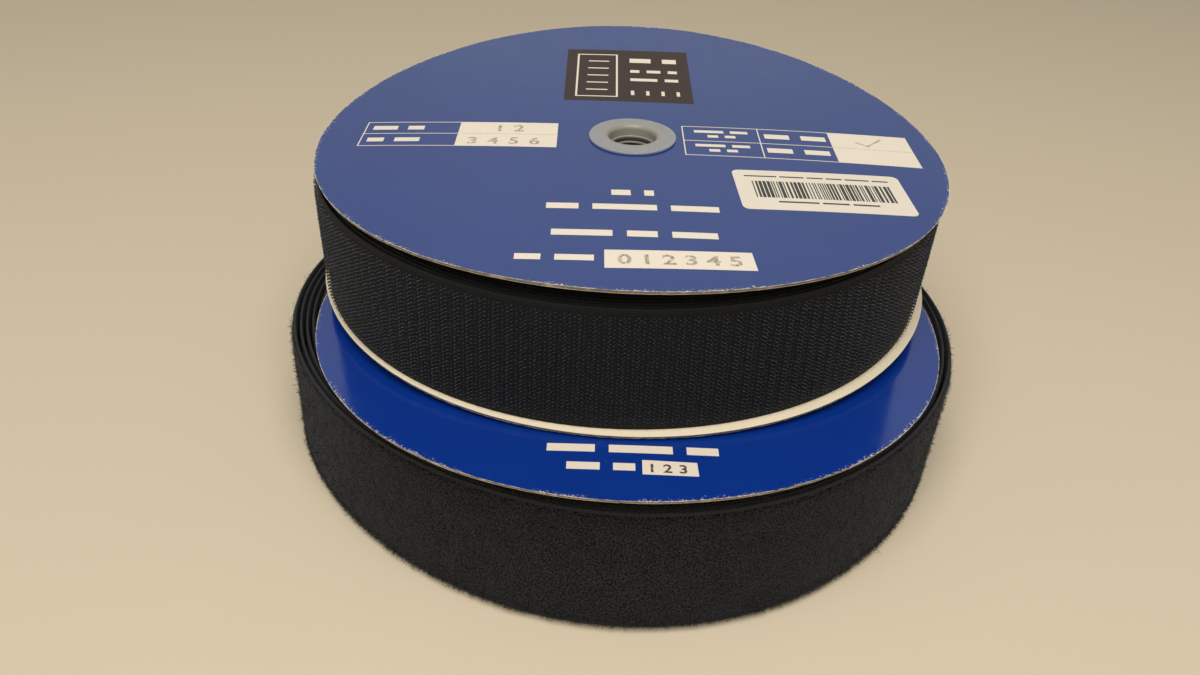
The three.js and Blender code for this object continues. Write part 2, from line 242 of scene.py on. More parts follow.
class HubSettings(bpy.types.PropertyGroup):
    plastic_colour: FloatVectorProperty(
        name="Plastic colour", description="Colour of the hub plugs",
        subtype="COLOR", size=3, default=(0.3, 0.295, 0.3), min=0, max=1)
    card_colour: FloatVectorProperty(
        name="Core colour", description="Colour of the card core",
        subtype="COLOR", size=3, default=(0.13, 0.085, 0.045), min=0, max=1)
    edge_radius: FloatProperty(
        name="Collar edge", description="Radius of the collar's outer edge",
        unit="LENGTH", default=0.35 * MM, min=0)
    mouth_radius: FloatProperty(
        name="Mouth radius", description="Radius of the funnel under its lip",
        unit="LENGTH", default=10.05 * MM, min=0)
    lip_radius: FloatProperty(
        name="Lip radius", description="Radius of the round lip of the funnel",
        unit="LENGTH", default=2.2 * MM, min=0)
    ledge_step: FloatProperty(
        name="Ledge step", description="How far each ledge stands into the bore",
        unit="LENGTH", default=0.6 * MM, min=0)


class TapeSettings(bpy.types.PropertyGroup):
    hook_colour: FloatVectorProperty(
        name="Hook colour", description="Colour of the hook tape",
        subtype="COLOR", size=3, default=(0.0088, 0.0088, 0.0115), min=0, max=1)
    loop_colour: FloatVectorProperty(
        name="Loop colour", description="Colour of the loop tape",
        subtype="COLOR", size=3, default=(0.0083, 0.0082, 0.0088), min=0, max=1)
    length: FloatProperty(
        name="Tape length", description="Length of each tape before it is wound",
        unit="LENGTH", default=25, min=1)
    hook_pitch_along: FloatProperty(
        name="Hook pitch along", description="Distance between hooks along the tape",
        unit="LENGTH", default=1.3 * MM, min=0.5 * MM)
    hook_pitch_across: FloatProperty(
        name="Hook pitch across", description="Distance between rows of hooks",
        unit="LENGTH", default=1.6 * MM, min=0.5 * MM)
    hook_height: FloatProperty(
        name="Hook height", description="Height of a hook over the woven base",
        unit="LENGTH", default=1.6 * MM, min=0.1 * MM)
    fibre_count: IntProperty(
        name="Loop fibres", description="Stray fibres on each third of a turn of the loop tape",
        default=13500, min=0)


# Finishes, wired node by node

# Middle of the pool of light painted on the floor
LIT_CENTRE = Vector((0.05, -0.03, 0))


def varied(colour, share):
    """A share of a colour, up to white."""
    return tuple(min(1, part * share) for part in colour)


class Nodes:
    """A node tree in the making. Each method adds nodes and returns the socket that comes out."""

    def __init__(self, tree):
        self.tree = tree
        tree.nodes.clear()

    def node(self, kind, feeds=None, **settings):
        """Adds one node and returns it. feeds holds a value or a socket for each input."""
        made = self.tree.nodes.new("ShaderNode" + kind)
        for name, value in settings.items():
            setattr(made, name, value)
        for key, value in (feeds or {}).items():
            socket = made.inputs[key]
            if isinstance(value, bpy.types.NodeSocket):
                self.tree.links.new(value, socket)
            elif hasattr(value, "__len__") and len(value) < len(socket.default_value):
                socket.default_value = (*value, 1)
            else:
                socket.default_value = value
        return made

    def parts(self, vector):
        """X, Y and Z of a vector."""
        return self.node("SeparateXYZ", {0: vector}).outputs

    def math(self, operation, *values):
        return self.node("Math", dict(enumerate(values)), operation=operation).outputs[0]

    def between(self, value, low, high, start=0, end=1, **settings):
        """0 to 1, or start to end, while value goes from low to high."""
        feeds = {0: value, 1: low, 2: high, 3: start, 4: end}
        return self.node("MapRange", feeds, **settings).outputs[0]

    def mix(self, share, first, second):
        feeds = {0: share, 6: first, 7: second}
        return self.node("Mix", feeds, data_type="RGBA").outputs[2]

    def shades(self, share, colour, low, high):
        """From one share of a colour to another."""
        return self.mix(share, varied(colour, low), varied(colour, high))


class Finish(Nodes):
    """A material in the making."""

    def __init__(self, name):
        self.material = bpy.data.materials.new(name)
        self.material.use_nodes = True
        super().__init__(self.material.node_tree)

    def place(self):
        return self.node("TexCoord").outputs["Object"]

    def along(self):
        """Place on a sheet: metres along and across a tape, or in from the rim of a card."""
        return self.node("Attribute", attribute_name="tape_place").outputs["Vector"]

    def scaled(self, vector, scale):
        return self.node("Mapping", {"Vector": vector, "Scale": scale}).outputs[0]

    def noise(self, vector, size, detail=2, roughness=0.5):
        feeds = {"Vector": vector, "Scale": 1 / size, "Detail": detail, "Roughness": roughness}
        return self.node("TexNoise", feeds).outputs["Fac"]

    def cells(self, vector, size):
        return self.node("TexVoronoi", {"Vector": vector, "Scale": 1 / size}).outputs["Distance"]

    def from_axis(self, place, axis):
        """Distance from a vertical axis."""
        flat = self.node("VectorMath", {0: place, 1: (1, 1, 0)}, operation="MULTIPLY").outputs[0]
        feeds = {0: flat, 1: (axis.x, axis.y, 0)}
        return self.node("VectorMath", feeds, operation="DISTANCE").outputs["Value"]

    def bump(self, height, depth, under=None):
        feeds = {"Height": height, "Distance": depth, "Strength": 1}
        if under:
            feeds["Normal"] = under
        return self.node("Bump", feeds).outputs[0]

    def surface(self, **sockets):
        """Ends the material in a principled shader. Socket names have _ for each space."""
        feeds = {name.replace("_", " "): value for name, value in sockets.items()}
        shader = self.node("BsdfPrincipled", feeds).outputs[0]
        self.node("OutputMaterial", {"Surface": shader})
        return self.material


def facing_finish(name, facing_colour, liner_colour, rough):
    """Varnished blue paper: faint blotches, dust, and white scuffs where the rim was knocked."""
    finish = Finish(name)
    place = finish.place()
    blotch = finish.noise(place, 30 * MM, 3)
    blue = finish.shades(blotch, facing_colour, 0.93, 1.07)
    inset = finish.parts(finish.along())[0]
    near_rim = finish.between(inset, 4.5 * MM, 0)
    worn = finish.between(finish.noise(place, 3 * MM, 4, 0.7), 0.36, 0.6)
    edge = finish.math("MULTIPLY", finish.between(inset, 0.34 * MM, 0.1 * MM), worn)
    strokes = finish.noise(place, 0.9 * MM, 5, 0.75)
    limit = finish.math("MULTIPLY_ADD", near_rim, -0.29, 0.8)
    scuffed = finish.between(finish.math("SUBTRACT", strokes, limit), 0, 0.04)
    scuffed = finish.math("MULTIPLY", scuffed, finish.between(near_rim, 0.02, 0.3))
    patches = finish.between(finish.noise(place, 22 * MM, 2), 0.44, 0.56)
    scuffed = finish.math("MAXIMUM", finish.math("MULTIPLY", scuffed, patches), edge)
    speck = finish.between(finish.cells(place, 13 * MM), 0.016, 0.008)
    pale = finish.math("MAXIMUM", scuffed, finish.math("MULTIPLY", speck, 0.3))
    colour = finish.mix(pale, blue, liner_colour)
    gloss = finish.between(finish.noise(place, 9 * MM, 3), 0.3, 0.7, rough, rough + 0.08)
    gloss = finish.math("MULTIPLY_ADD", pale, 0.5, gloss)
    grain = finish.bump(finish.noise(place, 0.5 * MM, 2), 0.002 * MM)
    wavy = finish.bump(finish.noise(place, 14 * MM, 1), 0.05 * MM, grain)
    return finish.surface(Base_Color=colour, Roughness=gloss, Normal=wavy, IOR=1.5)


def board_finish(name, card):
    """Cut board: fibres in layers, grey to cream, with a rough torn look."""
    finish = Finish(name)
    place = finish.place()
    layers = finish.noise(finish.scaled(place, (1, 1, 9)), 0.9 * MM, 4, 0.65)
    fibres = finish.noise(finish.scaled(place, (1, 1, 3)), 0.35 * MM, 3, 0.6)
    shade = finish.between(layers, 0.3, 0.7)
    colour = finish.shades(shade, card.board_colour, 0.62, 1.35)
    pale = finish.between(finish.noise(place, 5 * MM, 2), 0.54, 0.72)
    colour = finish.mix(pale, colour, varied(card.liner_colour, 0.72))
    normal = finish.bump(finish.math("ADD", layers, fibres), 0.12 * MM)
    return finish.surface(Base_Color=colour, Roughness=0.95, Normal=normal, Specular_IOR_Level=0.2)


def liner_finish(name, card):
    """Uncoated white paper, a little yellowed in patches."""
    finish = Finish(name)
    place = finish.place()
    patches = finish.noise(place, 18 * MM, 3)
    colour = finish.shades(patches, card.liner_colour, 0.94, 1.04)
    fibre = finish.noise(finish.scaled(place, (1, 1.7, 1)), 0.4 * MM, 4, 0.6)
    normal = finish.bump(fibre, 0.03 * MM)
    return finish.surface(Base_Color=colour, Roughness=0.85, Normal=normal, Specular_IOR_Level=0.25)


def ink_finish(name, colour, rough=0.28, worn=0.06, gloss=0.5):
    """A printed or bare patch under the varnish, slightly uneven."""
    finish = Finish(name)
    place = finish.place()
    uneven = finish.noise(place, 1.5 * MM, 3, 0.6)
    shade = finish.shades(uneven, colour, 1 - worn, 1 + worn)
    grain = finish.bump(finish.noise(place, 0.5 * MM, 2), 0.002 * MM)
    return finish.surface(Base_Color=shade, Roughness=rough, Normal=grain, Specular_IOR_Level=gloss)


def stamp_finish(name, colour, paper, wear=0.42):
    """Ink from a worn hand stamp: broken edges and pale middles."""
    finish = Finish(name)
    place = finish.place()
    worn = finish.between(finish.noise(place, 0.9 * MM, 3, 0.7), wear, wear + 0.2)
    shade = finish.mix(worn, colour, varied(paper, 0.82))
    return finish.surface(Base_Color=shade, Roughness=0.4)


def label_finish(name, label):
    """Satin label paper with a faint cross grain."""
    finish = Finish(name)
    place = finish.place()
    tone = finish.noise(place, 12 * MM, 2)
    colour = finish.shades(tone, label.paper_colour, 0.97, 1.03)
    grain = finish.bump(finish.noise(finish.scaled(place, (1, 2.4, 1)), 0.5 * MM, 3), 0.006 * MM)
    return finish.surface(Base_Color=colour, Roughness=0.42, Normal=grain)


def plastic_finish(name, hub, axis, middle, deep):
    """Milky moulded plastic with faint turning rings and a few scratches.

    Between its ledges, less than deep above or below middle, the bore is painted dark as shade."""
    finish = Finish(name)
    place = finish.place()
    distance = finish.from_axis(place, axis)
    rings = finish.math("SINE", finish.math("MULTIPLY", distance, TURN / (0.55 * MM)))
    cloud = finish.noise(place, 4 * MM, 3)
    colour = finish.shades(cloud, hub.plastic_colour, 0.9, 1.1)
    mouth = finish.between(distance, 15 * MM, 11 * MM)
    tan = tuple(part * share for part, share in zip(hub.plastic_colour, (1.05, 0.97, 0.78)))
    colour = finish.mix(mouth, colour, tan)
    from_middle = finish.math("SUBTRACT", finish.parts(place)[2], middle)
    # Painted shade: deep inside the bore, between its ledges, the colour goes to a dark tan
    deep_bore_shade = finish.between(finish.math("ABSOLUTE", from_middle), deep, deep - 2 * MM)
    ledge_gap_shade = finish.between(distance, 9.32 * MM, 9.5 * MM)
    colour = finish.mix(finish.math("MULTIPLY", deep_bore_shade, ledge_gap_shade), colour, varied(tan, 0.12))
    fine = finish.noise(finish.scaled(place, (1, 5, 1)), 0.8 * MM, 3)
    height = finish.math("MULTIPLY_ADD", rings, 0.12, fine)
    return finish.surface(
        Base_Color=colour, Roughness=finish.between(fine, 0.3, 0.7, 0.28, 0.42),
        Normal=finish.bump(height, 0.012 * MM), Subsurface_Weight=0.35,
        Subsurface_Radius=(1.0, 0.9, 0.7), Subsurface_Scale=2.5 * MM, IOR=1.5)


def core_finish(name, hub):
    """Brown core card wound from a strip, with its slanting seam."""
    finish = Finish(name)
    place = finish.place()
    fibre = finish.noise(finish.scaled(place, (1, 1, 4)), 0.9 * MM, 4, 0.6)
    colour = finish.shades(fibre, hub.card_colour, 0.75, 1.3)
    feeds = {"Vector": finish.scaled(place, (1, 1, 3)), "Scale": 30, "Distortion": 0.4}
    seam = finish.between(finish.node("TexWave", feeds).outputs["Fac"], 0.02, 0.08)
    colour = finish.mix(seam, varied(hub.card_colour, 0.4), colour)
    return finish.surface(Base_Color=colour, Roughness=0.9, Normal=finish.bump(fibre, 0.06 * MM))


def woven_finish(name, colour, rib, rib_depth):
    """Woven base and selvedge: ribs across the tape, crossed by finer threads, painted lighter on
    their crests as a highlight.
    """
    finish = Finish(name)
    along = finish.along()
    parts = finish.parts(along)
    ribs = finish.math("SINE", finish.math("MULTIPLY", parts[0], TURN / rib))
    threads = finish.math("SINE", finish.math("MULTIPLY", parts[1], TURN / (0.45 * MM)))
    weave = finish.math("MULTIPLY_ADD", threads, 0.35, ribs)
    uneven = finish.noise(along, 3 * MM, 4, 0.65)
    # Painted highlight on the crests of the ribs and threads that the bump raises, with uneven
    # random tone
    tone_and_rib_highlight = finish.between(finish.math("MULTIPLY_ADD", uneven, 1.2, weave), -1, 2)
    shade = finish.shades(tone_and_rib_highlight, colour, 0.55, 1.7)
    normal = finish.bump(weave, rib_depth)
    return finish.surface(Base_Color=shade, Roughness=0.75, Normal=normal, Specular_IOR_Level=0.3)


def filament_finish(name, colour, rough):
    """Drawn nylon filament, nearly smooth, with random tone that on the hooks also paints
    highlights.
    """
    finish = Finish(name)
    tone = finish.noise(finish.place(), 1.1 * MM, 2)
    share = finish.between(tone, 0.3, 0.7)
    shade = finish.shades(share, colour, 0.15, 2.5)
    gloss = finish.between(tone, 0.3, 0.7, rough, rough + 0.12)
    return finish.surface(Base_Color=shade, Roughness=gloss)


def pile_finish(name, colour):
    """Brushed pile: a fine felt of curled ends, painted darker in the hollows between them as
    shade.
    """
    finish = Finish(name)
    along = finish.along()
    tufts = finish.noise(along, 1.5 * MM, 2, 0.6)
    fine = finish.noise(along, 0.75 * MM, 2, 0.6)
    clouds = finish.noise(along, 9 * MM, 2)
    # The colour follows the noise of the bump: painted shade in the hollows, with random tone
    tone = finish.math("MULTIPLY_ADD", clouds, 0.1, finish.math("MULTIPLY", tufts, 0.18))
    tone = finish.between(finish.math("ADD", fine, tone), 0.54, 0.76)
    shade = finish.shades(tone, colour, 0.2, 3.8)
    height = finish.math("MULTIPLY_ADD", tufts, 0.6, fine)
    return finish.surface(
        Base_Color=shade, Roughness=1, Normal=finish.bump(height, 0.26 * MM),
        Specular_IOR_Level=0.06, Sheen_Weight=0.07, Sheen_Roughness=0.5)


def floor_finish(name, colour):
    """Plain pale paper with a very faint mottle, and a painted pool of light: palest where the
    reels stand.
    """
    finish = Finish(name)
    place = finish.place()
    mottle = finish.noise(place, 60 * MM, 3)
    shade = finish.shades(mottle, colour, 0.985, 1.015)
    from_painted_light = finish.from_axis(place, LIT_CENTRE)
    # Painted pool of light: the paper is darker further from the lit centre
    shade = finish.mix(finish.between(from_painted_light, 0.14, 0.34), shade, varied(colour, 0.975))
    grain = finish.bump(finish.noise(place, 0.8 * MM, 3), 0.02 * MM)
    return finish.surface(Base_Color=shade, Roughness=0.8, Normal=grain, Specular_IOR_Level=0.15)


# Making meshes

# Angles in degrees over which an edge stays sharp
CREASE = 35
WEAVE_CREASE = 50
WIRE_CREASE = 60
NO_CREASE = 180


def make_object(name, points, faces, material, crease=CREASE, tape_place=None):
    """A closed mesh object with its faces pointing out and its sharp edges kept."""
    mesh = bpy.data.meshes.new(name)
    mesh.from_pydata(np.asarray(points).tolist(), [], [list(map(int, face)) for face in faces])
    if tape_place is not None:
        layer = mesh.attributes.new("tape_place", "FLOAT_VECTOR", "POINT")
        layer.data.foreach_set("vector", np.asarray(tape_place, np.float32).ravel())
    edit = bmesh.new()
    edit.from_mesh(mesh)
    bmesh.ops.recalc_face_normals(edit, faces=edit.faces)
    edit.to_mesh(mesh)
    edit.free()
    mesh.shade_smooth()
    mesh.set_sharp_from_angle(angle=math.radians(crease))
    mesh.materials.append(material)
    made = bpy.data.objects.new(name, mesh)
    bpy.context.scene.collection.objects.link(made)
    return made


def settle(made, body, slot=None, *nodes):
    """Rides a piece on its body and hides the CAD nodes that it stands for. Its slot is not used.
    """
    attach(made, body)
    if nodes:
        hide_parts(*nodes)
    return made


def grid_faces(rows, columns, closed_rows=False, closed_columns=False, first=0):
    """Quads between the points of a grid, row by row."""
    row = np.arange(rows if closed_rows else rows - 1)[:, None]
    column = np.arange(columns if closed_columns else columns - 1)[None, :]
    next_row = (row + 1) % rows
    next_column = (column + 1) % columns
    corners = (
        row * columns + column, row * columns + next_column,
        next_row * columns + next_column, next_row * columns + column)
    return np.stack(corners, -1).reshape(-1, 4) + first


def bridge(first, second, count):
    """Quads between two closed rings of points, told by the number of their first point."""
    here = np.arange(count)
    onward = (here + 1) % count
    corners = (first + here, first + onward, second + onward, second + here)
    return list(np.stack(corners, 1))


def lathe(name, profile, axis, height, flip, material, steps=96):
    """A closed profile of (radius, height) points turned about a vertical axis."""
    profile = np.array(profile)
    angles = np.arange(steps) * TURN / steps
    radius, level = profile[:, 0], profile[:, 1] * (-1 if flip else 1) + height
    points = np.stack([
        axis.x + np.outer(np.cos(angles), radius),
        axis.y + np.outer(np.sin(angles), radius),
        np.broadcast_to(level, (steps, len(profile)))], -1)
    faces = grid_faces(steps, len(profile), True, True)
    return make_object(name, points.reshape(-1, 3), faces, material)


def arc(centre_radius, centre_height, radius, start, end, steps=6):
    """Points of an arc in a lathe profile, angles in degrees."""
    return [
        (centre_radius + radius * math.cos(a), centre_height + radius * math.sin(a))
        for a in np.radians(np.linspace(start, end, steps + 1))]


def tubes(paths, radii, side):
    """Three-sided tubes along many paths at once. side is a direction across each path."""
    count, length, _ = paths.shape
    along = np.gradient(paths, axis=1)
    along /= np.linalg.norm(along, axis=2, keepdims=True)
    across = side[:, None, :] - (along * side[:, None, :]).sum(2, keepdims=True) * along
    across /= np.maximum(np.linalg.norm(across, axis=2, keepdims=True), 1e-9)
    other = np.cross(along, across)
    rings = []
    for corner in range(3):
        angle = TURN * corner / 3
        offset = math.cos(angle) * across + math.sin(angle) * other
        rings.append(paths + offset * radii[None, :, None])
    points = np.stack(rings, 2).reshape(-1, 3)
    wall = grid_faces(length, 3, False, True)
    caps = np.array([[0, 1, 2], [3 * length - 1, 3 * length - 2, 3 * length - 3]])
    starts = np.arange(count) * 3 * length
    walls = (wall[None] + starts[:, None, None]).reshape(-1, 4)
    ends = (caps[None] + starts[:, None, None]).reshape(-1, 3)
    return points, [*walls, *ends]


def ragged(rng, count, width):
    """A closed row of random values, smoothed over a width of steps, about 0 and about 1 high."""
    values = rng.normal(size=count)
    kernel = np.exp(-0.5 * (np.minimum(np.arange(count), count - np.arange(count)) / width) ** 2)
    smooth = np.real(np.fft.ifft(np.fft.fft(values) * np.fft.fft(kernel)))
    return smooth / smooth.std()


# Card flanges

FINE_PER_COARSE = 4
COLLAR_RINGS = 3
OPEN_RINGS = 22
OPEN_CARD_INSET = 5 * MM
RIM_RING_INSETS = np.array([3.5, 2, 1, 0.4]) * MM
WORN_BAND = 2 * MM
CUT_BULGE = 0.04 * MM
BOARD_ROWS = 3
BOARD_FRAY = 0.05 * MM
# How far a rim runs out of round, in millimetres: all round, to the right, and to both sides
OUT_OF_ROUND = {("hook", "top"): (0.6, -0.2, 0.5), ("hook", "bottom"): (0.9, -1, 0.1)}


def rim_nibbles(rng, steps, depth):
    """How far the rim is worn back at each step: hardly at most places, with a few nicks."""
    fine = 0.035 * MM * np.abs(ragged(rng, steps, 1))
    worn = 0.05 * MM * np.maximum(0, ragged(rng, steps, 14))
    nicks = depth * np.maximum(0, ragged(rng, steps, 1.6) - 2.2)
    return fine + worn + np.minimum(nicks, depth)


def card_sheet(reel, side, part, card, material, seed, rows, fray):
    """One paper or board disc of a flange, bowed as its CAD sheet is, with a worn rim.

    rows is the number of steps within the height of its cut, and fray the depth of the fibres
    there. The open card has one step where the rim has FINE_PER_COARSE."""
    axis = AXES[reel]
    layers = {layer: read_sheet(f"{reel}_{side}_{layer}", axis) for layer in LAYERS}
    sheet = layers[part]
    foot = min(layer["bottom"] for layer in layers.values())
    crown = max(layer["top"] for layer in layers.values())
    clamp = radius_of(reel + "_top_plug")
    rng = np.random.default_rng(seed)
    fine = card.rim_steps
    coarse = fine // FINE_PER_COARSE
    rim = sheet["rim"]
    inner = np.concatenate([
        np.linspace(sheet["hole"], clamp, COLLAR_RINGS)[:-1],
        np.linspace(clamp, rim - OPEN_CARD_INSET, OPEN_RINGS)])
    outer = rim - RIM_RING_INSETS
    nibble = rim_nibbles(rng, fine, card.nibble_depth)
    coarse_angles = np.arange(coarse) * TURN / coarse
    fine_angles = np.arange(fine) * TURN / fine
    near_rim = np.clip((outer - (rim - WORN_BAND)) / WORN_BAND, 0, 1)
    even, right, sides = OUT_OF_ROUND.get((reel, side), (0, 0, 0))
    spread = (even + right * np.cos(fine_angles) + sides * np.cos(2 * fine_angles)) * MM

    def taper(level):
        return card.rim_taper * (crown - level) / (crown - foot)

    def bowed(x, y, level):
        return np.stack([x, y, level + bow_height(sheet, clamp, x, y)], -1)

    def face(level):
        wear = near_rim[:, None] * (nibble[None, :] + taper(level))
        wide = outer[:, None] + spread[None, :] - wear
        x, y = (
            np.concatenate([
                np.outer(inner, wave(coarse_angles)).ravel(), (wide * wave(fine_angles)).ravel()])
            for wave in (np.cos, np.sin))
        return bowed(x, y, level)

    def rim_row(share):
        fuzz = fray * (ragged(rng, fine, 1) * 0.5 + ragged(rng, fine, 4) * 0.5)
        level = sheet["bottom"] + share * sheet["thickness"]
        bulge = CUT_BULGE * (2 * share - 1) ** 2
        radius = rim + spread - nibble - np.abs(fuzz) - bulge - taper(level)
        return bowed(radius * np.cos(fine_angles), radius * np.sin(fine_angles), level)

    shares = np.linspace(0, 1, rows + 2)
    bands = [face(sheet["bottom"]), *(rim_row(share) for share in shares), face(sheet["top"])]
    points = np.concatenate(bands) + np.array(axis)
    inset = np.concatenate([np.repeat(rim - inner, coarse), np.repeat(rim - outer, fine)])
    inset = np.concatenate([inset, np.zeros(len(shares) * fine), inset])
    place = np.stack([inset, 0 * inset, 0 * inset], -1)
    size = len(inner) * coarse + len(outer) * fine
    top = size + len(shares) * fine
    faces = []
    for start in (0, top):
        faces += list(grid_faces(len(inner), coarse, False, True, start))
        first = start + len(inner) * coarse
        faces += list(grid_faces(len(outer), fine, False, True, first))
        last = first - coarse
        for i in range(coarse):
            wide = [first + (i * FINE_PER_COARSE + k) % fine for k in range(FINE_PER_COARSE + 1)]
            faces.append([last + i, last + (i + 1) % coarse, *reversed(wide)])
    faces += list(grid_faces(len(shares), fine, False, True, size))
    faces += bridge(size - fine, size, fine)
    faces += bridge(top + size - fine, top - fine, fine)
    faces += bridge(0, top, coarse)
    return make_object(f"{reel}_{side}_{part}_card", points, faces, material, tape_place=place)


class REELS_OT_flanges(bpy.types.Operator):
    """Builds the twelve paper and board discs of the four bowed flanges"""
    bl_idname = "reels.flanges"
    bl_label = "Card Flanges"

    def execute(self, context):
        card = context.scene.reel_card
        board = board_finish("grey_board", card)
        liner = liner_finish("white_liner", card)
        varnish = {"hook": (card.upper_facing_colour, 0.14), "loop": (card.facing_colour, 0.1)}
        for number, (reel, side) in enumerate(FLANGES):
            tint, rough = varnish[reel]
            facing = facing_finish(f"blue_facing_{reel}_{side}", tint, card.liner_colour, rough)
            sheets = (
                (facing, "blue_facing", 0, 0),
                (board, "grey_board", BOARD_ROWS, BOARD_FRAY),
                (liner, "white_liner", 0, 0))
            for layer, (part, (material, slot, rows, fray)) in enumerate(zip(LAYERS, sheets)):
                seed = 10 * number + layer
                made = card_sheet(reel, side, part, card, material, seed, rows, fray)
                settle(made, BODIES[reel], slot, f"{reel}_{side}_{part}")
        return {"FINISHED"}


# Print on the facings

INK_ROOT = 0.01 * MM
PATCH_STEP = 6 * MM
BAR_HALF_HEIGHT = 0.36
BAR_GAP = 0.8
NUMBER_WEIGHT = 0.022


def at(*pairs):
    """Places in millimetres from the hub."""
    return [(x * MM, y * MM) for x, y in pairs]


def unit(start, end):
    """The direction from one place to another, and the direction to its left."""
    along = (end - start) / np.linalg.norm(end - start)
    return along, np.array([-along[1], along[0]])


class Printer:
    """Collects thin patches of one ink and lays them on a bowed facing."""

    def __init__(self, reel, lift=0.0, pivot=None, slant=0.0):
        self.reel = reel
        self.lift = lift
        self.pivot = pivot
        self.slant = slant
        self.axis = AXES[reel]
        self.sheet = read_sheet(reel + "_top_facing", self.axis)
        self.clamp = radius_of(reel + "_top_plug")
        self.points = []
        self.faces = []

    def slab(self, x, y, faces, height):
        """A flat outline or grid laid on the card, closed by a copy of itself below the face."""
        if self.pivot:
            right, up = x - self.pivot.x, y - self.pivot.y
            x = self.pivot.x + right * math.cos(self.slant) - up * math.sin(self.slant)
            y = self.pivot.y + right * math.sin(self.slant) + up * math.cos(self.slant)
        base = self.sheet["top"] + bow_height(self.sheet, self.clamp, x, y) + self.lift
        first = sum(len(p) for p in self.points)
        count = len(x)
        self.points += [np.stack([x, y, level], 1) for level in (base + height, base - INK_ROOT)]
        edges = {}
        for face in faces:
            self.faces.append([first + i for i in face])
            self.faces.append([first + count + i for i in reversed(face)])
            edges.update(dict.fromkeys(zip(face, [*face[1:], face[0]])))
        self.faces += [
            [first + b, first + a, first + count + a, first + count + b]
            for a, b in edges if (b, a) not in edges]

    def block(self, corners, height):
        """A four-cornered patch. The corners run round it, from the lower left."""
        corners = np.array(corners, float)
        low, right, high, left = (
            np.linalg.norm(corners[(i + 1) % 4] - corners[i]) for i in range(4))
        columns = max(2, int(max(low, high) / PATCH_STEP) + 2)
        rows = max(2, int(max(left, right) / PATCH_STEP) + 2)
        u, v = np.meshgrid(np.linspace(0, 1, columns), np.linspace(0, 1, rows))
        weights = ((1 - u) * (1 - v), u * (1 - v), u * v, (1 - u) * v)
        flat = sum(w[..., None] * c for w, c in zip(weights, corners)).reshape(-1, 2)
        self.slab(flat[:, 0], flat[:, 1], grid_faces(rows, columns).tolist(), height)

    def outline(self, corners, width, height):
        """Four lines round a patch."""
        for start, end in zip(corners, [*corners[1:], corners[0]]):
            self.line(start, end, width, height)

    def line(self, start, end, width, height):
        start, end = np.array(start, float), np.array(end, float)
        along, left = unit(start, end)
        across = left * width / 2
        end = end + along * width / 2
        start = start - along * width / 2
        self.block([start - across, end - across, end + across, start + across], height)

    def bars(self, start, end, size, words, height):
        """A line of generic bars, one for each word, as long as their shares."""
        start, end = np.array(start, float), np.array(end, float)
        along = end - start
        length = np.linalg.norm(along)
        across = np.array([-along[1], along[0]]) / length * BAR_HALF_HEIGHT * size
        gap = BAR_GAP * size / length
        scale = (1 - gap * (len(words) - 1)) / sum(words)
        share = 0.0
        for word in words:
            a, b = start + along * share, start + along * (share + word * scale)
            self.block([a - across, b - across, b + across, a + across], height)
            share += word * scale + gap

    def lines_of_bars(self, height, *lines):
        """Lines of bars, each told by its start, end, size and words, in millimetres."""
        for start, end, size, words in lines:
            self.bars(*at(start, end), size * MM, words, height)

    def numbers(self, text, corner, along, size, height, spacing=1.0):
        """Plain numbers, set in Blender's own face."""
        curve = bpy.data.curves.new("numbers", "FONT")
        curve.body = text
        curve.size = 1
        curve.space_character = spacing
        curve.offset = NUMBER_WEIGHT
        holder = bpy.data.objects.new("numbers", curve)
        bpy.context.scene.collection.objects.link(holder)
        bpy.context.view_layer.update()
        graph = bpy.context.evaluated_depsgraph_get()
        mesh = bpy.data.meshes.new_from_object(holder.evaluated_get(graph))
        flat = np.array([v.co[:2] for v in mesh.vertices]) * size
        faces = [list(p.vertices) for p in mesh.polygons]
        bpy.data.objects.remove(holder)
        bpy.data.curves.remove(curve)
        bpy.data.meshes.remove(mesh)
        along, up = unit(np.zeros(2), np.array(along, float))
        placed = np.array(corner) + flat[:, :1] * along + flat[:, 1:] * up
        self.slab(placed[:, 0], placed[:, 1], faces, height)

    def finish(self, name, material, slot=None, *nodes):
        """Makes one piece of all the patches. It rides with the card that it lies on."""
        points = np.concatenate(self.points) + np.array(self.axis)
        made = make_object(name, points, self.faces, material)
        return settle(made, BODIES[self.reel], slot, *nodes)


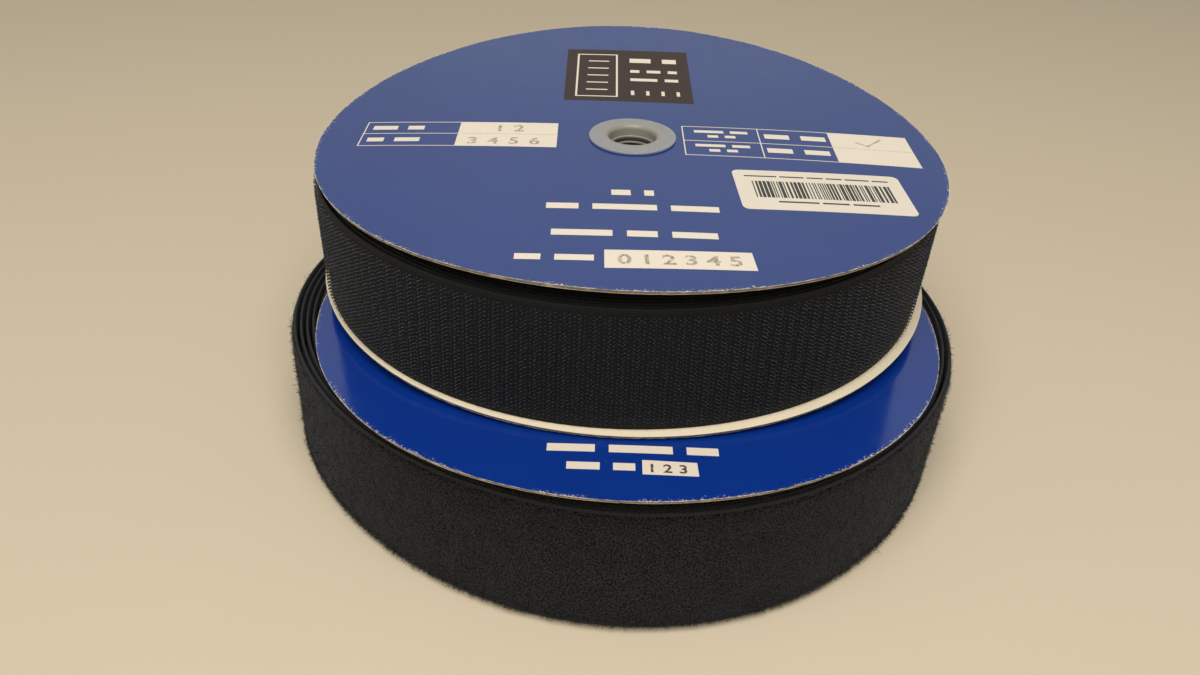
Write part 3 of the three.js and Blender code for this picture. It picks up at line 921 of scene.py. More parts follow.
class REELS_OT_print(bpy.types.Operator):
    """Lays the white, dark and stamped print on the two upper facings"""
    bl_idname = "reels.print"
    bl_label = "Print"

    def execute(self, context):
        ink = context.scene.reel_print
        height, line = ink.ink_height, ink.line_width
        white = ink_finish("bare_white", ink.ink_colour)
        dark = ink_finish("dark_panel", ink.panel_colour, 0.34, 0.12, 0.16)
        stamp = stamp_finish("stamped_numbers", ink.stamp_colour, ink.ink_colour)
        bold_colour = varied(ink.stamp_colour, 0.22)
        bold_stamp = stamp_finish("stamped_dark_numbers", bold_colour, ink.ink_colour, 0.52)

        panel = Printer("hook")
        panel.block(at((-31.9, 39.6), (28.2, 40.6), (26.5, 102.2), (-33.1, 100.7)), height)
        panel.finish("hook_top_panel", dark)

        # The list and the bars on the dark panel, which stand over its ink
        sheet = Printer("hook")
        over = 2.2 * height
        sheet.outline(
            at((-26.5, 45), (-7.5, 45.5), (-8.4, 95.4), (-27.4, 94.8)), 0.9 * MM, over)
        for level in (54, 62.5, 71, 79.5, 88):
            sheet.line(*at((-21.6, level - 1), (-12.6, level - 0.8)), 1.1 * MM, over)
        sheet.lines_of_bars(
            over,
            ((-2, 89), (21, 89.6), 7, (3, 2)),
            ((-1.6, 76), (21.2, 76.6), 4.4, (2, 3, 2)),
            ((-1.4, 66), (21.6, 66.6), 4.4, (4, 2)),
            ((-1, 50.4), (22, 51), 7, (1, 1, 1, 1)))

        # The table left of the hub
        left = at((-116, -13.9), (-32.2, -13.2), (-32.9, 12.1), (-116, 11.2))
        sheet.outline(left, line, height)
        sheet.line(*at((-116, -1), (-75.3, -0.6)), line, height)
        sheet.block(at((-75.1, -13.6), (-32.2, -13.2), (-32.9, 12.1), (-75.3, 11.6)), height)
        sheet.lines_of_bars(
            height,
            ((-112.9, 5.2), (-90.6, 5.4), 5.6, (3, 2)),
            ((-113.2, -7.5), (-90.8, -7.2), 5.6, (2, 3)))

        # The table right of the hub
        right = at((22.5, -15.4), (122.7, -11.7), (121.4, 19.3), (21.7, 14.7))
        sheet.outline(right, line, height)
        sheet.line(*at((22.1, -0.5), (86.8, 2.3)), line, height)
        sheet.line(*at((55.8, -14.1), (54.9, 16.2)), line, height)
        sheet.block(at((87.2, -13), (122.7, -11.7), (121.4, 19.3), (86.2, 17.7)), height)
        for drop in (0, 14.8):
            sheet.lines_of_bars(
                height,
                ((26.9, 9.8 - drop), (50.4, 11 - drop), 3.6, (5, 3)),
                ((32.6, 5.1 - drop), (44.8, 5.8 - drop), 3.6, (2, 2)),
                ((57.6, 8.8 - drop), (84.6, 10 - drop), 6.4, (1, 1)))

        # The lines in front of the hub
        sheet.lines_of_bars(
            height,
            ((-8, -55.1), (8.6, -54.4), 6.6, (2, 1)),
            ((-32.4, -68.7), (33.3, -66.5), 6.6, (2, 4, 3)),
            ((-29.1, -90.8), (31.5, -88.9), 6.6, (4, 2, 3)),
            ((-40.6, -110.6), (-12.9, -109.9), 6, (2, 3)))
        sheet.block(at((-9.1, -117.1), (43.7, -113.9), (42.7, -100.5), (-9.5, -103.5)), height)
        sheet.finish("hook_top_print", white)

        # Numbers, a tick and dividing lines stamped on the white boxes
        stamped = Printer("hook", height)
        forward = (1, 0.02)
        stamped.numbers("1 2", *at((-60, 2.3)), forward, 9.5 * MM, height, 1.1)
        stamped.numbers("3 4 5 6", *at((-70.4, -11.2)), forward, 9.5 * MM, height, 1.15)
        stamped.line(*at((-75.2, -0.6), (-32.6, -0.2)), 0.25 * MM, height)
        stamped.line(*at((98, 9.6), (102.6, 6.2)), 1 * MM, height)
        stamped.line(*at((102.6, 6.2), (109.4, 14.4)), 1 * MM, height)
        stamped.line(*at((86.9, 2.3), (122, 3.8)), 0.25 * MM, height)
        stamped.numbers("0 1 2 3 4 5", *at((-4.6, -113.6)), (1, 0.06), 10 * MM, height)
        stamped.finish("hook_top_stamps", stamp)

        # The lower reel's facing
        sheet = Printer("loop")
        sheet.lines_of_bars(
            height,
            ((-28.1, -103.7), (33.1, -102.6), 6.2, (3, 4, 2)),
            ((-20.6, -114), (3.4, -113.6), 5.8, (3, 2)))
        sheet.block(at((5.9, -117.5), (25.5, -117.3), (25.1, -109.5), (5.8, -109.3)), height)
        sheet.finish("loop_top_print", white)
        stamped = Printer("loop", height)
        stamped.numbers("1 2 3", *at((7.6, -116)), (1, 0.01), 6.6 * MM, height, 1.05)
        stamped.finish("loop_top_stamps", bold_stamp)
        return {"FINISHED"}


# Label

CORNER_STEPS = 9
LABEL_COLUMNS = 22
LABEL_ROWS = 13
LABEL_SEED = 77
LABEL_INK = 0.012 * MM
BAR_WIDTHS = (0.5, 0.5, 0.9, 1.3)
BAR_SPACES = (0.4, 0.4, 0.8)


class REELS_OT_label(bpy.types.Operator):
    """Sticks the paper label with its generic bars on the upper facing"""
    bl_idname = "reels.label"
    bl_label = "Label"

    def execute(self, context):
        label = context.scene.reel_label
        low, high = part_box("hook_label")
        axis = AXES["hook"]
        half = Vector(((high.x - low.x) / 2, (high.y - low.y) / 2))
        centre = Vector(((high.x + low.x) / 2 - axis.x, (high.y + low.y) / 2 - axis.y))
        paper = Printer("hook", 0, centre, label.slant)
        quarter = np.linspace(0, math.pi / 2, CORNER_STEPS)
        flank = half.x - label.corner
        columns = np.concatenate([
            -half.x + label.corner * (1 - np.cos(quarter)),
            np.linspace(-half.x + label.corner, flank, LABEL_COLUMNS)[1:-1],
            half.x - label.corner * (1 - np.sin(quarter))])
        into = np.maximum(0, np.abs(columns) - flank)
        depth = half.y - label.corner + np.sqrt(np.maximum(0, label.corner ** 2 - into ** 2))
        x = np.repeat(columns, LABEL_ROWS) + centre.x
        y = np.outer(depth, np.linspace(-1, 1, LABEL_ROWS)).ravel() + centre.y
        paper.slab(x, y, grid_faces(len(columns), LABEL_ROWS).tolist(), label.thickness)
        material = label_finish("label_paper", label)
        paper.finish("hook_label_paper", material, "label_paper", "hook_label")

        rng = np.random.default_rng(LABEL_SEED)
        bars = Printer("hook", label.thickness, centre, label.slant)
        left, right = centre.x - 27.6 * MM, centre.x + 28.4 * MM
        foot, head = centre.y - 7.2 * MM, centre.y + 7.8 * MM
        place = left
        while place < right:
            end = place + rng.choice(BAR_WIDTHS) * MM
            bars.block([(place, foot), (end, foot), (end, head), (place, head)], LABEL_INK)
            place = end + rng.choice(BAR_SPACES) * MM
        over, under = centre.y + 12.4 * MM, centre.y - 10.8 * MM
        first, last = left - 2.4 * MM, right + 1 * MM
        bars.bars((first, over), (last, over), 1.5 * MM, (4, 3, 2, 2, 3, 2), LABEL_INK)
        first, last = left + 8 * MM, right - 8 * MM
        bars.bars((first, under), (last, under), 1.8 * MM, (3, 2, 2), LABEL_INK)
        bars.finish("hook_label_bars", ink_finish("label_ink", label.bar_colour, 0.45, 0.15))
        return {"FINISHED"}


# Hub plugs and card cores

BARREL_RADIUS = 12.38 * MM
TIP_CHAMFER = (0.25 * MM, 1.2 * MM)
COLLAR_THICKNESS = 1.6 * MM
COLLAR_RIM = 1.1 * MM
# Its dished face, as insets from the rim and heights in millimetres
COLLAR_DISH = ((1.3, 1.02), (3.4, 1.36))
SEAT = 0.05 * MM
SEAT_CHAMFER = 0.15 * MM
MOUTH_DEPTH = 3.2 * MM
BORE_RADIUS = 9.9 * MM
BORE_TAPER = 0.17 * MM
LEDGES = 4
LEDGE_HEIGHT = 0.9 * MM
LEDGE_ROUND = 0.12 * MM
BORE_RELIEF = 0.1 * MM
# How far in from each end of a hub the painted shade in its bore fades out
BORE_SHADE_MARGIN = 5 * MM
CORE_BORE = 12.5 * MM
CORE_CHAMFER = 0.2 * MM


def plug_profile(node, hub):
    """The closed outline of a plug, from its tip round the collar and down its ledged bore.

    Height 0 is the face of the card that the collar seats on."""
    low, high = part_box(node)
    collar = radius_of(node)
    tip = COLLAR_THICKNESS - (high.z - low.z)
    edge, lip, step = hub.edge_radius, hub.lip_radius, hub.ledge_step
    profile = [(BARREL_RADIUS - TIP_CHAMFER[0], tip), (BARREL_RADIUS, tip + TIP_CHAMFER[1])]
    profile += [(BARREL_RADIUS, SEAT), (collar - SEAT_CHAMFER, SEAT), (collar, SEAT + SEAT_CHAMFER)]
    profile += arc(collar - edge, COLLAR_RIM - edge, edge, 0, 110)
    profile += [(collar - inset * MM, height * MM) for inset, height in COLLAR_DISH]
    profile += arc(hub.mouth_radius + lip, COLLAR_THICKNESS - lip, lip, 90, 180, 10)
    pitch = (-tip - MOUTH_DEPTH - LEDGE_HEIGHT) / (LEDGES - 1)
    soft = LEDGE_ROUND
    for number in range(LEDGES):
        bore = BORE_RADIUS - BORE_TAPER * number
        level = -MOUTH_DEPTH - number * pitch
        end = level - LEDGE_HEIGHT
        profile += [(bore, level), (bore - step + soft, level), (bore - step, level - soft)]
        profile += [(bore - step, end + soft), (bore - step + soft, end)]
        if number < LEDGES - 1:
            profile.append((bore - BORE_RELIEF, end))
    return profile


class REELS_OT_hubs(bpy.types.Operator):
    """Turns the four plastic hub plugs and the two card cores"""
    bl_idname = "reels.hubs"
    bl_label = "Hub Plugs and Cores"

    def execute(self, context):
        hub = context.scene.reel_hub
        card = core_finish("core_card", hub)
        for reel in ("hook", "loop"):
            axis = AXES[reel]
            high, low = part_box(reel + "_top_plug")[1].z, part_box(reel + "_bottom_plug")[0].z
            # The bore is painted dark, as shade, except near its two ends
            middle, deep = (high + low) / 2, (high - low) / 2 - BORE_SHADE_MARGIN
            plastic = plastic_finish(f"hub_plastic_{reel}", hub, axis, middle, deep)
            for side in ("top", "bottom"):
                node = f"{reel}_{side}_plug"
                low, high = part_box(node)
                flip = side == "bottom"
                face = low.z + COLLAR_THICKNESS if flip else high.z - COLLAR_THICKNESS
                profile = plug_profile(node, hub)
                made = lathe(f"{reel}_{side}_hub", profile, axis, face, flip, plastic)
                settle(made, HUB_BODIES[reel], "hub_plastic", node)
            node = reel + "_core_tube"
            low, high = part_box(node)
            outside, inside, chamfer = radius_of(node), CORE_BORE, CORE_CHAMFER
            profile = [
                (inside + chamfer, low.z), (outside - chamfer, low.z),
                (outside, low.z + chamfer), (outside, high.z - chamfer),
                (outside - chamfer, high.z), (inside + chamfer, high.z),
                (inside, high.z - chamfer), (inside, low.z + chamfer)]
            made = lathe(reel + "_core_card", profile, axis, 0, False, card)
            settle(made, BODIES[reel], "core_card", node)
        return {"FINISHED"}


# Wound tapes

# How each tape is wound: the thickness of a turn, the angle of its end in degrees and its loose
# turns. foot and top tell how far the outermost turn leaves a true spiral at the two edges of the
# tape, in millimetres, as pairs of a cosine and a sine: a shift, an oval and a three-cornered share
WOUND = {
    "hook": {
        "thickness": 2.1 * MM, "end_angle": 100, "loose_turns": 3,
        "foot": ((-2.2, -2.9), (1.3, 0.7)), "top": ((-1.7, -2.5), (3.8, 0.6))},
    "loop": {
        "thickness": 2.47 * MM, "end_angle": 118, "loose_turns": 6,
        "foot": ((-3.7, 8.1), (2.6, -1.5), (-0.7, 2.5)),
        "top": ((-2.8, 12.4), (4.7, -2), (-0.4, 1.6))}}
TURN_GAP = 0.45 * MM
CORE_GAP = 0.4 * MM
FREE_END_LENGTH = 52 * MM
END_OVERLAP = 14 * MM
ROOT_REACH = 9 * MM
SELVEDGE_ROUND = 0.3 * MM
PACK_STEPS = 72
OUTER_STEPS = 320
END_STEPS = 80
SECTORS = 3


class Winding:
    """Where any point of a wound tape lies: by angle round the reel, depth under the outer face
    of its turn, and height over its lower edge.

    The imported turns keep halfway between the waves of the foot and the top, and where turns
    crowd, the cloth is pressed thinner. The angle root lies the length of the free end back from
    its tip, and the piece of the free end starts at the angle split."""

    def __init__(self, reel, length):
        wound = WOUND[reel]
        self.reel, self.axis = reel, AXES[reel]
        pack_low, pack_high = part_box(reel + "_tape_pack")
        self.bottom, self.width = pack_low.z, pack_high.z - pack_low.z
        self.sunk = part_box(reel + "_tape_outer_turns")[0].z - pack_low.z
        self.core = radius_of(reel + "_core_tube")
        self.thickness = thickness = wound["thickness"]
        self.cloth = thickness - TURN_GAP
        self.foot, self.top = wound["foot"], wound["top"]
        self.end, self.loose = math.radians(wound["end_angle"]), wound["loose_turns"]
        self.full = math.sqrt(self.core ** 2 + thickness * length / math.pi)
        self.first = self.end - (self.full - self.core - thickness - CORE_GAP) / thickness * TURN
        self.root = self.end - FREE_END_LENGTH / self.full
        self.split = self.root - END_OVERLAP / self.full

    def round_radius(self, angle):
        return self.full - self.thickness * (self.end - angle) / TURN

    def wave(self, waves, angle):
        return sum(
            (c * np.cos((i + 1) * angle) + s * np.sin((i + 1) * angle)) * MM
            for i, (c, s) in enumerate(waves))

    def point(self, angle, depth, height):
        """Points, from arrays of the same shape."""
        share = height / self.width
        foot, top = self.wave(self.foot, angle), self.wave(self.top, angle)
        packed = (foot + top) / 2
        parting = (foot * (1 - share) + top * share - packed) / self.loose
        turns = np.maximum(0, self.loose - (self.end - angle) / TURN)
        build_up = self.full - self.core
        radius = self.round_radius(angle)
        outer = radius + (radius - self.core) / build_up * packed + parting * turns
        crowding = np.minimum(0, self.thickness * packed / build_up)
        pressed = crowding + np.minimum(0, parting) * np.minimum(turns, 1)
        radial = outer - depth * (self.cloth + pressed) / self.cloth
        loosened = np.minimum(turns, 1)
        level = self.bottom + height + self.sunk * loosened ** 2 * (3 - 2 * loosened)
        x = self.axis.x + radial * np.cos(angle)
        y = self.axis.y + radial * np.sin(angle)
        return np.stack([x, y, level], -1)

    def along(self, angle):
        """Metres of tape up to an angle."""
        return (angle - self.first) * (self.round_radius(self.first) + self.round_radius(angle)) / 2


def tape_section(winding, edge, edge_depth, face_depth):
    """Outline of the tape across its width, as (depth, height): a flat back, two thin rounded
    selvedges, and the face that carries the hooks or the pile."""
    wide, cloth, soft = winding.width, winding.cloth, SELVEDGE_ROUND
    low = [
        (cloth, soft), (cloth - soft, 0), (edge_depth + soft, 0), (edge_depth, soft),
        (edge_depth, edge - soft), (face_depth, edge + soft)]
    high = [(depth, wide - height) for depth, height in reversed(low)]
    return np.array(low + [(face_depth, wide / 2)] + high)


def ribbon(name, winding, section, angles, material):
    """The tape swept along its winding, closed at both ends."""
    angle = np.repeat(angles[:, None], len(section), 1)
    depth = np.broadcast_to(section[:, 0], angle.shape)
    height = np.broadcast_to(section[:, 1], angle.shape)
    points = winding.point(angle, depth, height).reshape(-1, 3)
    place = np.stack([winding.along(angle), height, depth], -1).reshape(-1, 3)
    corners = len(section)
    faces = list(grid_faces(len(angles), corners, False, True))
    last = (len(angles) - 1) * corners
    faces += [list(range(corners)), list(range(last + corners - 1, last - 1, -1))]
    return make_object(name, points, faces, material, WEAVE_CREASE, place)


def wound_part(winding, section, material):
    """The tape up to the piece of its free end, with stations wide apart in the pack and close
    together in its loose turns."""
    reel = winding.reel
    fine_start = winding.split - winding.loose * TURN
    coarse_count = int((fine_start - winding.first) / TURN * PACK_STEPS)
    coarse = np.linspace(winding.first, fine_start, coarse_count)
    fine = np.linspace(fine_start, winding.split, int(winding.loose * OUTER_STEPS))
    angles = np.concatenate([coarse[:-1], fine])
    made = ribbon(reel + "_tape_wound", winding, section, angles, material)
    nodes = (reel + "_tape_pack", reel + "_tape_outer_turns")
    return settle(made, BODIES[reel], reel + "_tape", *nodes)


def end_part(winding, section, material):
    """The piece of the free end, from where the wound piece stops."""
    angles = np.linspace(winding.split, winding.end, END_STEPS)
    made = ribbon(winding.reel + "_tape_end", winding, section, angles, material)
    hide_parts(winding.reel + "_tape_free_end")
    return made


def bend_at_root(made, winding, depth):
    """Bakes the transform of a piece of the free end into its mesh."""
    start, end = (
        tuple(winding.point(winding.root + reach / winding.full, depth, winding.width / 2))
        for reach in (-ROOT_REACH, ROOT_REACH))
    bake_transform(made)


def sector_bounds(winding):
    """The last turn before the free end, in even sectors."""
    bounds = np.linspace(winding.root - TURN, winding.split, SECTORS + 1)
    return list(enumerate(zip(bounds, bounds[1:]), 1))


HOOK_EDGE = 2.2 * MM
HOOK_BASE = 0.95 * MM
HOOK_EDGE_DEPTH = HOOK_BASE - 0.1 * MM
HOOK_INSETS = (0.6 * MM, 1.2 * MM)
HOOK_SEED = 5
# A hook from its root to its tip, as shares of its height: along the tape, up, and its thickness
HOOK_BEND = np.array([0, 0.02, 0.12, 0.32, 0.42])
HOOK_RISE = np.array([-0.08, 0.55, 0.92, 1.0, 0.74])
HOOK_RADII = np.array([1, 1, 1, 0.95, 0.75]) * 0.135 * MM
SHORT_COLUMN = 0.82
# How far the hooks stray: their place along and across the tape, then shares of their height
STRAY_ALONG, STRAY_ACROSS = 0.06 * MM, 0.03 * MM
STRAY_HEIGHT, STRAY_SWAY, STRAY_LEAN = 0.05, 0.05, 0.03


def hook_rows(name, winding, tape, start, end, material, rng):
    """The hooks between two angles.

    Every other column is shorter and stands half a pitch higher, and the columns lean in pairs
    towards each other, so that each fourth gap closes to a double column."""
    radius = winding.full
    pitch = tape.hook_pitch_along / radius
    columns = np.arange(math.ceil(start / pitch), math.ceil(end / pitch))
    low, high = HOOK_EDGE + HOOK_INSETS[0], winding.width - HOOK_EDGE - HOOK_INSETS[1]
    rows = np.arange(low, high, tape.hook_pitch_across)
    column, height = np.meshgrid(columns, rows, indexing="ij")
    height = (height + (column % 2) * tape.hook_pitch_across / 2).ravel()
    facing = np.where(column % 4 < 2, 1.0, -1.0).ravel()
    angle = (column * pitch).ravel()
    angle = angle + rng.normal(scale=STRAY_ALONG / radius, size=angle.shape)
    height = height + rng.normal(scale=STRAY_ACROSS, size=height.shape)
    tall = tape.hook_height * np.where(column.ravel() % 2, SHORT_COLUMN, 1)
    tall = tall * (1 + rng.normal(scale=STRAY_HEIGHT, size=angle.shape))
    sway = rng.normal(scale=STRAY_SWAY, size=angle.shape)
    bent = HOOK_BEND[None, :] * facing[:, None] + sway[:, None] * HOOK_RISE[None, :]
    depth = HOOK_BASE - HOOK_RISE[None, :] * tall[:, None]
    lean = rng.normal(scale=STRAY_LEAN, size=angle.shape)
    lift = lean[:, None] * HOOK_RISE[None, :] * tape.hook_height
    spread = angle[:, None] + bent * tape.hook_height / radius
    paths = winding.point(spread, depth, height[:, None] + lift)
    points, faces = tubes(paths, HOOK_RADII, np.tile((0.0, 0.0, 1.0), (len(paths), 1)))
    return make_object(name, points, faces, material, WIRE_CREASE)


class REELS_OT_hook_tape(bpy.types.Operator):
    """Winds the 25 m hook tape, with its rows of hooks and its free end"""
    bl_idname = "reels.hook_tape"
    bl_label = "Hook Tape"

    def execute(self, context):
        tape = context.scene.reel_tape
        winding = Winding("hook", tape.length)
        rng = np.random.default_rng(HOOK_SEED)
        # One tape colour, painted far darker on the woven base and far lighter on the hooks:
        # painted shade between the hooks and painted highlights on them
        woven = woven_finish(
            "hook_base_weave_painted_shade", varied(tape.hook_colour, 0.18), 0.9 * MM, 0.05 * MM)
        highlit_wire = filament_finish("hook_filament_painted_highlight", varied(tape.hook_colour, 2.7), 0.2)
        section = tape_section(winding, HOOK_EDGE, HOOK_EDGE_DEPTH, HOOK_BASE)
        wound = wound_part(winding, section, woven)
        for number, bounds in sector_bounds(winding):
            name = f"hook_tape_hooks_{number}"
            hooks = hook_rows(name, winding, tape, *bounds, highlit_wire, rng)
            settle(hooks, BODIES["hook"], "hook_tape")
        free = end_part(winding, section, woven)
        tip = winding.end - 1 * MM / winding.full
        end_hooks = hook_rows("hook_tape_end_hooks", winding, tape, winding.split, tip, highlit_wire, rng)
        for piece in (free, end_hooks):
            bend_at_root(piece, winding, HOOK_BASE)
        return {"FINISHED"}


LOOP_EDGE = 2.6 * MM
LOOP_EDGE_DEPTH = 0.85 * MM
LOOP_FACE = 0.35 * MM
LOOP_SEED = 11
PILE_FOOT = 0.9 * MM
PILE_TOP = 1.4 * MM
PILE_CELL = 0.95 * MM
PILE_CROWN_WIDTH = 1.6 * MM
PILE_CROWN = 0.95 * MM
PILE_RIM_DEPTH = 0.75 * MM
PILE_BACK_DEPTH = 0.95 * MM
FIBRE_RADII = np.array([1, 0.9, 0.4]) * 0.075 * MM
# A fibre's three points, as shares of its reach along the pile and of its stand out of it
FIBRE_PATH = ((0, -0.35), (0.5, 1.0), (1.0, 0.5))
# The share of the fibres that stand near the foot of the tape
FOOT_SHARE = 0.28


def smooth_field(rng, rows, columns, size):
    """A random field with features a number of cells wide, about 0 and about 1 high."""
    coarse = rng.normal(size=(int(rows / size) + 3, int(columns / size) + 3))
    row = np.linspace(0, coarse.shape[0] - 1.001, rows)
    column = np.linspace(0, coarse.shape[1] - 1.001, columns)
    i, j = row.astype(int)[:, None], column.astype(int)[None, :]
    u, v = (row % 1)[:, None], (column % 1)[None, :]
    u, v = u * u * (3 - 2 * u), v * v * (3 - 2 * v)
    low = coarse[i, j] * (1 - v) + coarse[i, j + 1] * v
    high = coarse[i + 1, j] * (1 - v) + coarse[i + 1, j + 1] * v
    return low * (1 - u) + high * u


def pile_shell(name, winding, start, end, material, rng):
    """The matted face of the pile, with its tufts, closed behind by a plain face."""
    columns = int((end - start) * winding.full / PILE_CELL)
    low, high = PILE_FOOT, winding.width - PILE_TOP
    rows = int((high - low) / PILE_CELL)
    angle, height = np.meshgrid(
        np.linspace(start, end, columns), np.linspace(low, high, rows), indexing="ij")
    tufts = (
        0.07 * smooth_field(rng, columns, rows, 8) + 0.07 * smooth_field(rng, columns, rows, 2.6)
        + 0.12 * rng.normal(size=angle.shape)) * MM
    inside = np.minimum(height - low, high - height) / PILE_CROWN_WIDTH
    crown = np.sqrt(np.clip(inside, 0, 1))
    outer = PILE_RIM_DEPTH - crown * PILE_CROWN - tufts * np.clip(inside * 3, 0, 1)
    points = np.concatenate([
        winding.point(angle, depth, height).reshape(-1, 3)
        for depth in (outer, np.full_like(angle, PILE_BACK_DEPTH))])
    place = np.stack([winding.along(angle), height, np.zeros_like(height)], -1).reshape(-1, 3)
    count = columns * rows
    face = grid_faces(columns, rows)
    faces = [*face, *(face[:, ::-1] + count)]
    ring = [*range(0, rows), *range(2 * rows - 1, count, rows)]
    ring += [*range(count - 2, count - rows - 1, -1), *range(count - 2 * rows, 0, -rows)]
    faces += [[a, b, b + count, a + count] for a, b in zip(ring, [*ring[1:], ring[0]])]
    places = np.concatenate([place, place])
    return make_object(name, points, faces, material, NO_CREASE, places)


def pile_fibres(name, winding, start, end, count, material, rng):
    """Stray loops and ends of filament that stand out of the pile, thickest near its foot."""
    angle = rng.uniform(start, end, count)
    low, high = PILE_FOOT + 0.2 * MM, winding.width - PILE_TOP - 0.3 * MM
    height = rng.uniform(low, high, count)
    at_foot = rng.random(count) < FOOT_SHARE
    height[at_foot] = low + rng.gamma(1.5, 0.8, at_foot.sum()) * MM
    turn = rng.uniform(0, TURN, count)
    reach = rng.uniform(0.5, 1.9, count) * MM
    stand = np.where(at_foot, rng.gamma(3, 0.24, count), rng.gamma(2.6, 0.27, count)) * MM
    curl = rng.normal(scale=0.5, size=count)
    paths = []
    for share, rise in FIBRE_PATH:
        heading = turn + curl * share
        along = np.cos(heading) * reach * share
        up = np.sin(heading) * reach * share
        depth = -0.1 * MM - stand * rise
        across = np.clip(height + up, low - 0.6 * MM, high + 0.6 * MM)
        paths.append(winding.point(angle + along / winding.full, depth, across))
    points, faces = tubes(np.stack(paths, 1), FIBRE_RADII, rng.normal(size=(count, 3)))
    return make_object(name, points, faces, material, NO_CREASE)


class REELS_OT_loop_tape(bpy.types.Operator):
    """Winds the 25 m loop tape, with its brushed pile and its free end"""
    bl_idname = "reels.loop_tape"
    bl_label = "Loop Tape"

    def execute(self, context):
        tape = context.scene.reel_tape
        winding = Winding("loop", tape.length)
        rng = np.random.default_rng(LOOP_SEED)
        woven = woven_finish(
            "loop_base_weave", varied(tape.loop_colour, 1.8), 1.1 * MM, 0.12 * MM)
        pile = pile_finish("loop_pile", tape.loop_colour)
        fibre = filament_finish("loop_filament", varied(tape.loop_colour, 1.9), 0.34)
        section = tape_section(winding, LOOP_EDGE, LOOP_EDGE_DEPTH, LOOP_FACE)
        split, end = winding.split, winding.end
        wound = wound_part(winding, section, woven)
        pieces = [pile_shell("loop_tape_pile", winding, winding.root - TURN, split, pile, rng)]
        count = tape.fibre_count
        pieces += [
            pile_fibres(f"loop_tape_fibres_{number}", winding, *bounds, count, fibre, rng)
            for number, bounds in sector_bounds(winding)]
        for piece in pieces:
            settle(piece, BODIES["loop"], "loop_tape")
        count = int(count * SECTORS * (end - split) / TURN)
        ends = [
            end_part(winding, section, woven),
            pile_shell("loop_tape_end_pile", winding, split, end, pile, rng),
            pile_fibres("loop_tape_end_fibres", winding, split, end, count, fibre, rng)]
        for piece in ends:
            bend_at_root(piece, winding, LOOP_EDGE_DEPTH)
        return {"FINISHED"}


# Stage

# The part of the sky that gloss reflects: where the ceiling gives way to the walls, to the sides
# and upwards, and the warm tints of the light and of what is reflected
CEILING_SIDES = (0.12, 0.4)
CEILING_RISE = (0.35, 0.46)
SKY_TINT = (1, 0.985, 0.95)
REFLECTED_TINT = (0.95, 1, 0.87)
LAMP_PLACE = (-0.05, -0.8, 1.5)
SENSOR_WIDTH_MM = 36


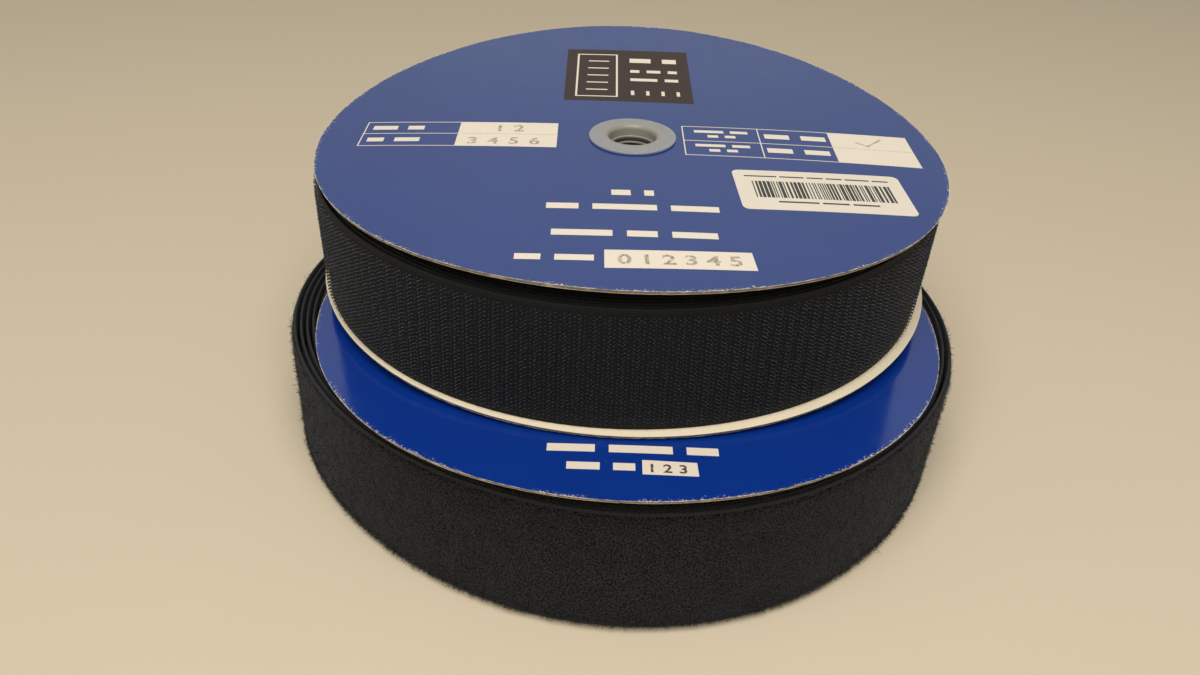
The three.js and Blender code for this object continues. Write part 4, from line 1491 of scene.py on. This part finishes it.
class REELS_OT_stage(bpy.types.Operator):
    """Lays the floor and sets the light and the camera"""
    bl_idname = "reels.stage"
    bl_label = "Stage"

    def execute(self, context):
        scene = context.scene
        stage = scene.reel_stage
        scene.view_settings.view_transform = "Standard"

        half = stage.floor_size / 2
        corners = [(-half, -half, 0), (half, -half, 0), (half, half, 0), (-half, half, 0)]
        mesh = bpy.data.meshes.new("floor")
        mesh.from_pydata(corners, [], [(0, 1, 2, 3)])
        mesh.materials.append(floor_finish("floor_paper", stage.floor_colour))
        floor = bpy.data.objects.new("floor", mesh)
        scene.collection.objects.link(floor)

        world = bpy.data.worlds.new("studio")
        scene.world = world
        world.use_nodes = True
        sky = Nodes(world.node_tree)
        x, _, z = sky.parts(sky.node("TexCoord").outputs["Generated"])
        smooth = {"interpolation_type": "SMOOTHSTEP"}
        walls = stage.horizon_strength
        ahead = sky.between(
            sky.math("ABSOLUTE", x), *CEILING_SIDES, stage.ceiling_strength, walls + 0.1, **smooth)
        reflected = sky.between(z, *CEILING_RISE, walls, ahead, **smooth)
        glossy = sky.node("LightPath").outputs["Is Glossy Ray"]
        strength = sky.node("Mix", {0: glossy, 2: stage.sky_strength, 3: reflected}).outputs[0]
        colour = sky.mix(glossy, SKY_TINT, REFLECTED_TINT)
        background = sky.node("Background", {"Color": colour, "Strength": strength})
        sky.node("OutputWorld", {"Surface": background.outputs[0]})

        light = bpy.data.lights.new("soft_lamp", "AREA")
        light.shape = "SQUARE"
        light.size = stage.lamp_size
        light.energy = stage.lamp_energy
        lamp = bpy.data.objects.new("soft_lamp", light)
        place = Vector(LAMP_PLACE)
        turn = place.to_track_quat("Z", "Y").to_matrix().to_4x4()
        lamp.matrix_world = Matrix.Translation(place) @ turn
        scene.collection.objects.link(lamp)

        hub = AXES["hook"].copy()
        hub.z = read_sheet("hook_top_facing", hub)["top"]
        pitch, yaw, roll = stage.camera_pitch, stage.camera_yaw, stage.camera_roll
        forward = Vector((
            math.sin(yaw) * math.cos(pitch), math.cos(yaw) * math.cos(pitch), -math.sin(pitch)))
        level = Vector((math.cos(yaw), -math.sin(yaw), 0))
        upright = level.cross(forward)
        right = level * math.cos(roll) + upright * math.sin(roll)
        up = upright * math.cos(roll) - level * math.sin(roll)
        turn = Matrix((right, up, -forward)).transposed().to_4x4()
        place = hub + Vector((stage.camera_right, -stage.camera_back, stage.camera_up))
        data = bpy.data.cameras.new("camera")
        data.sensor_width = SENSOR_WIDTH_MM
        data.sensor_fit = "HORIZONTAL"
        data.lens = stage.camera_lens
        data.clip_start = 10 * MM
        camera = bpy.data.objects.new("camera", data)
        camera.matrix_world = Matrix.Translation(place) @ turn
        scene.collection.objects.link(camera)
        scene.camera = camera
        return {"FINISHED"}


# Panel and registration

OPERATORS = (
    REELS_OT_stage, REELS_OT_flanges, REELS_OT_print, REELS_OT_label,
    REELS_OT_hubs, REELS_OT_hook_tape, REELS_OT_loop_tape)
SETTINGS = {
    "reel_stage": StageSettings, "reel_card": CardSettings, "reel_print": PrintSettings,
    "reel_label": LabelSettings, "reel_hub": HubSettings, "reel_tape": TapeSettings}


class REELS_PT_panel(bpy.types.Panel):
    """The pieces of the reels and their settings"""
    bl_idname = "REELS_PT_panel"
    bl_label = "Tape Reels"
    bl_space_type = "VIEW_3D"
    bl_region_type = "UI"
    bl_category = "Tape Reels"

    def draw(self, context):
        for name, group in SETTINGS.items():
            box = self.layout.box()
            for setting in group.__annotations__:
                box.prop(getattr(context.scene, name), setting)
        for operator in OPERATORS:
            self.layout.operator(operator.bl_idname)


def register():
    for name, group in SETTINGS.items():
        bpy.utils.register_class(group)
        setattr(bpy.types.Scene, name, bpy.props.PointerProperty(type=group))
    for cls in (*OPERATORS, REELS_PT_panel):
        bpy.utils.register_class(cls)


def unregister():
    for cls in (REELS_PT_panel, *reversed(OPERATORS)):
        bpy.utils.unregister_class(cls)
    for name, group in SETTINGS.items():
        delattr(bpy.types.Scene, name)
        bpy.utils.unregister_class(group)


def main():
    register()
    bpy.ops.reels.stage()
    bpy.ops.reels.flanges()
    bpy.ops.reels.print()
    bpy.ops.reels.label()
    bpy.ops.reels.hubs()
    bpy.ops.reels.hook_tape()
    bpy.ops.reels.loop_tape()


if __name__ == "__main__":
    main()
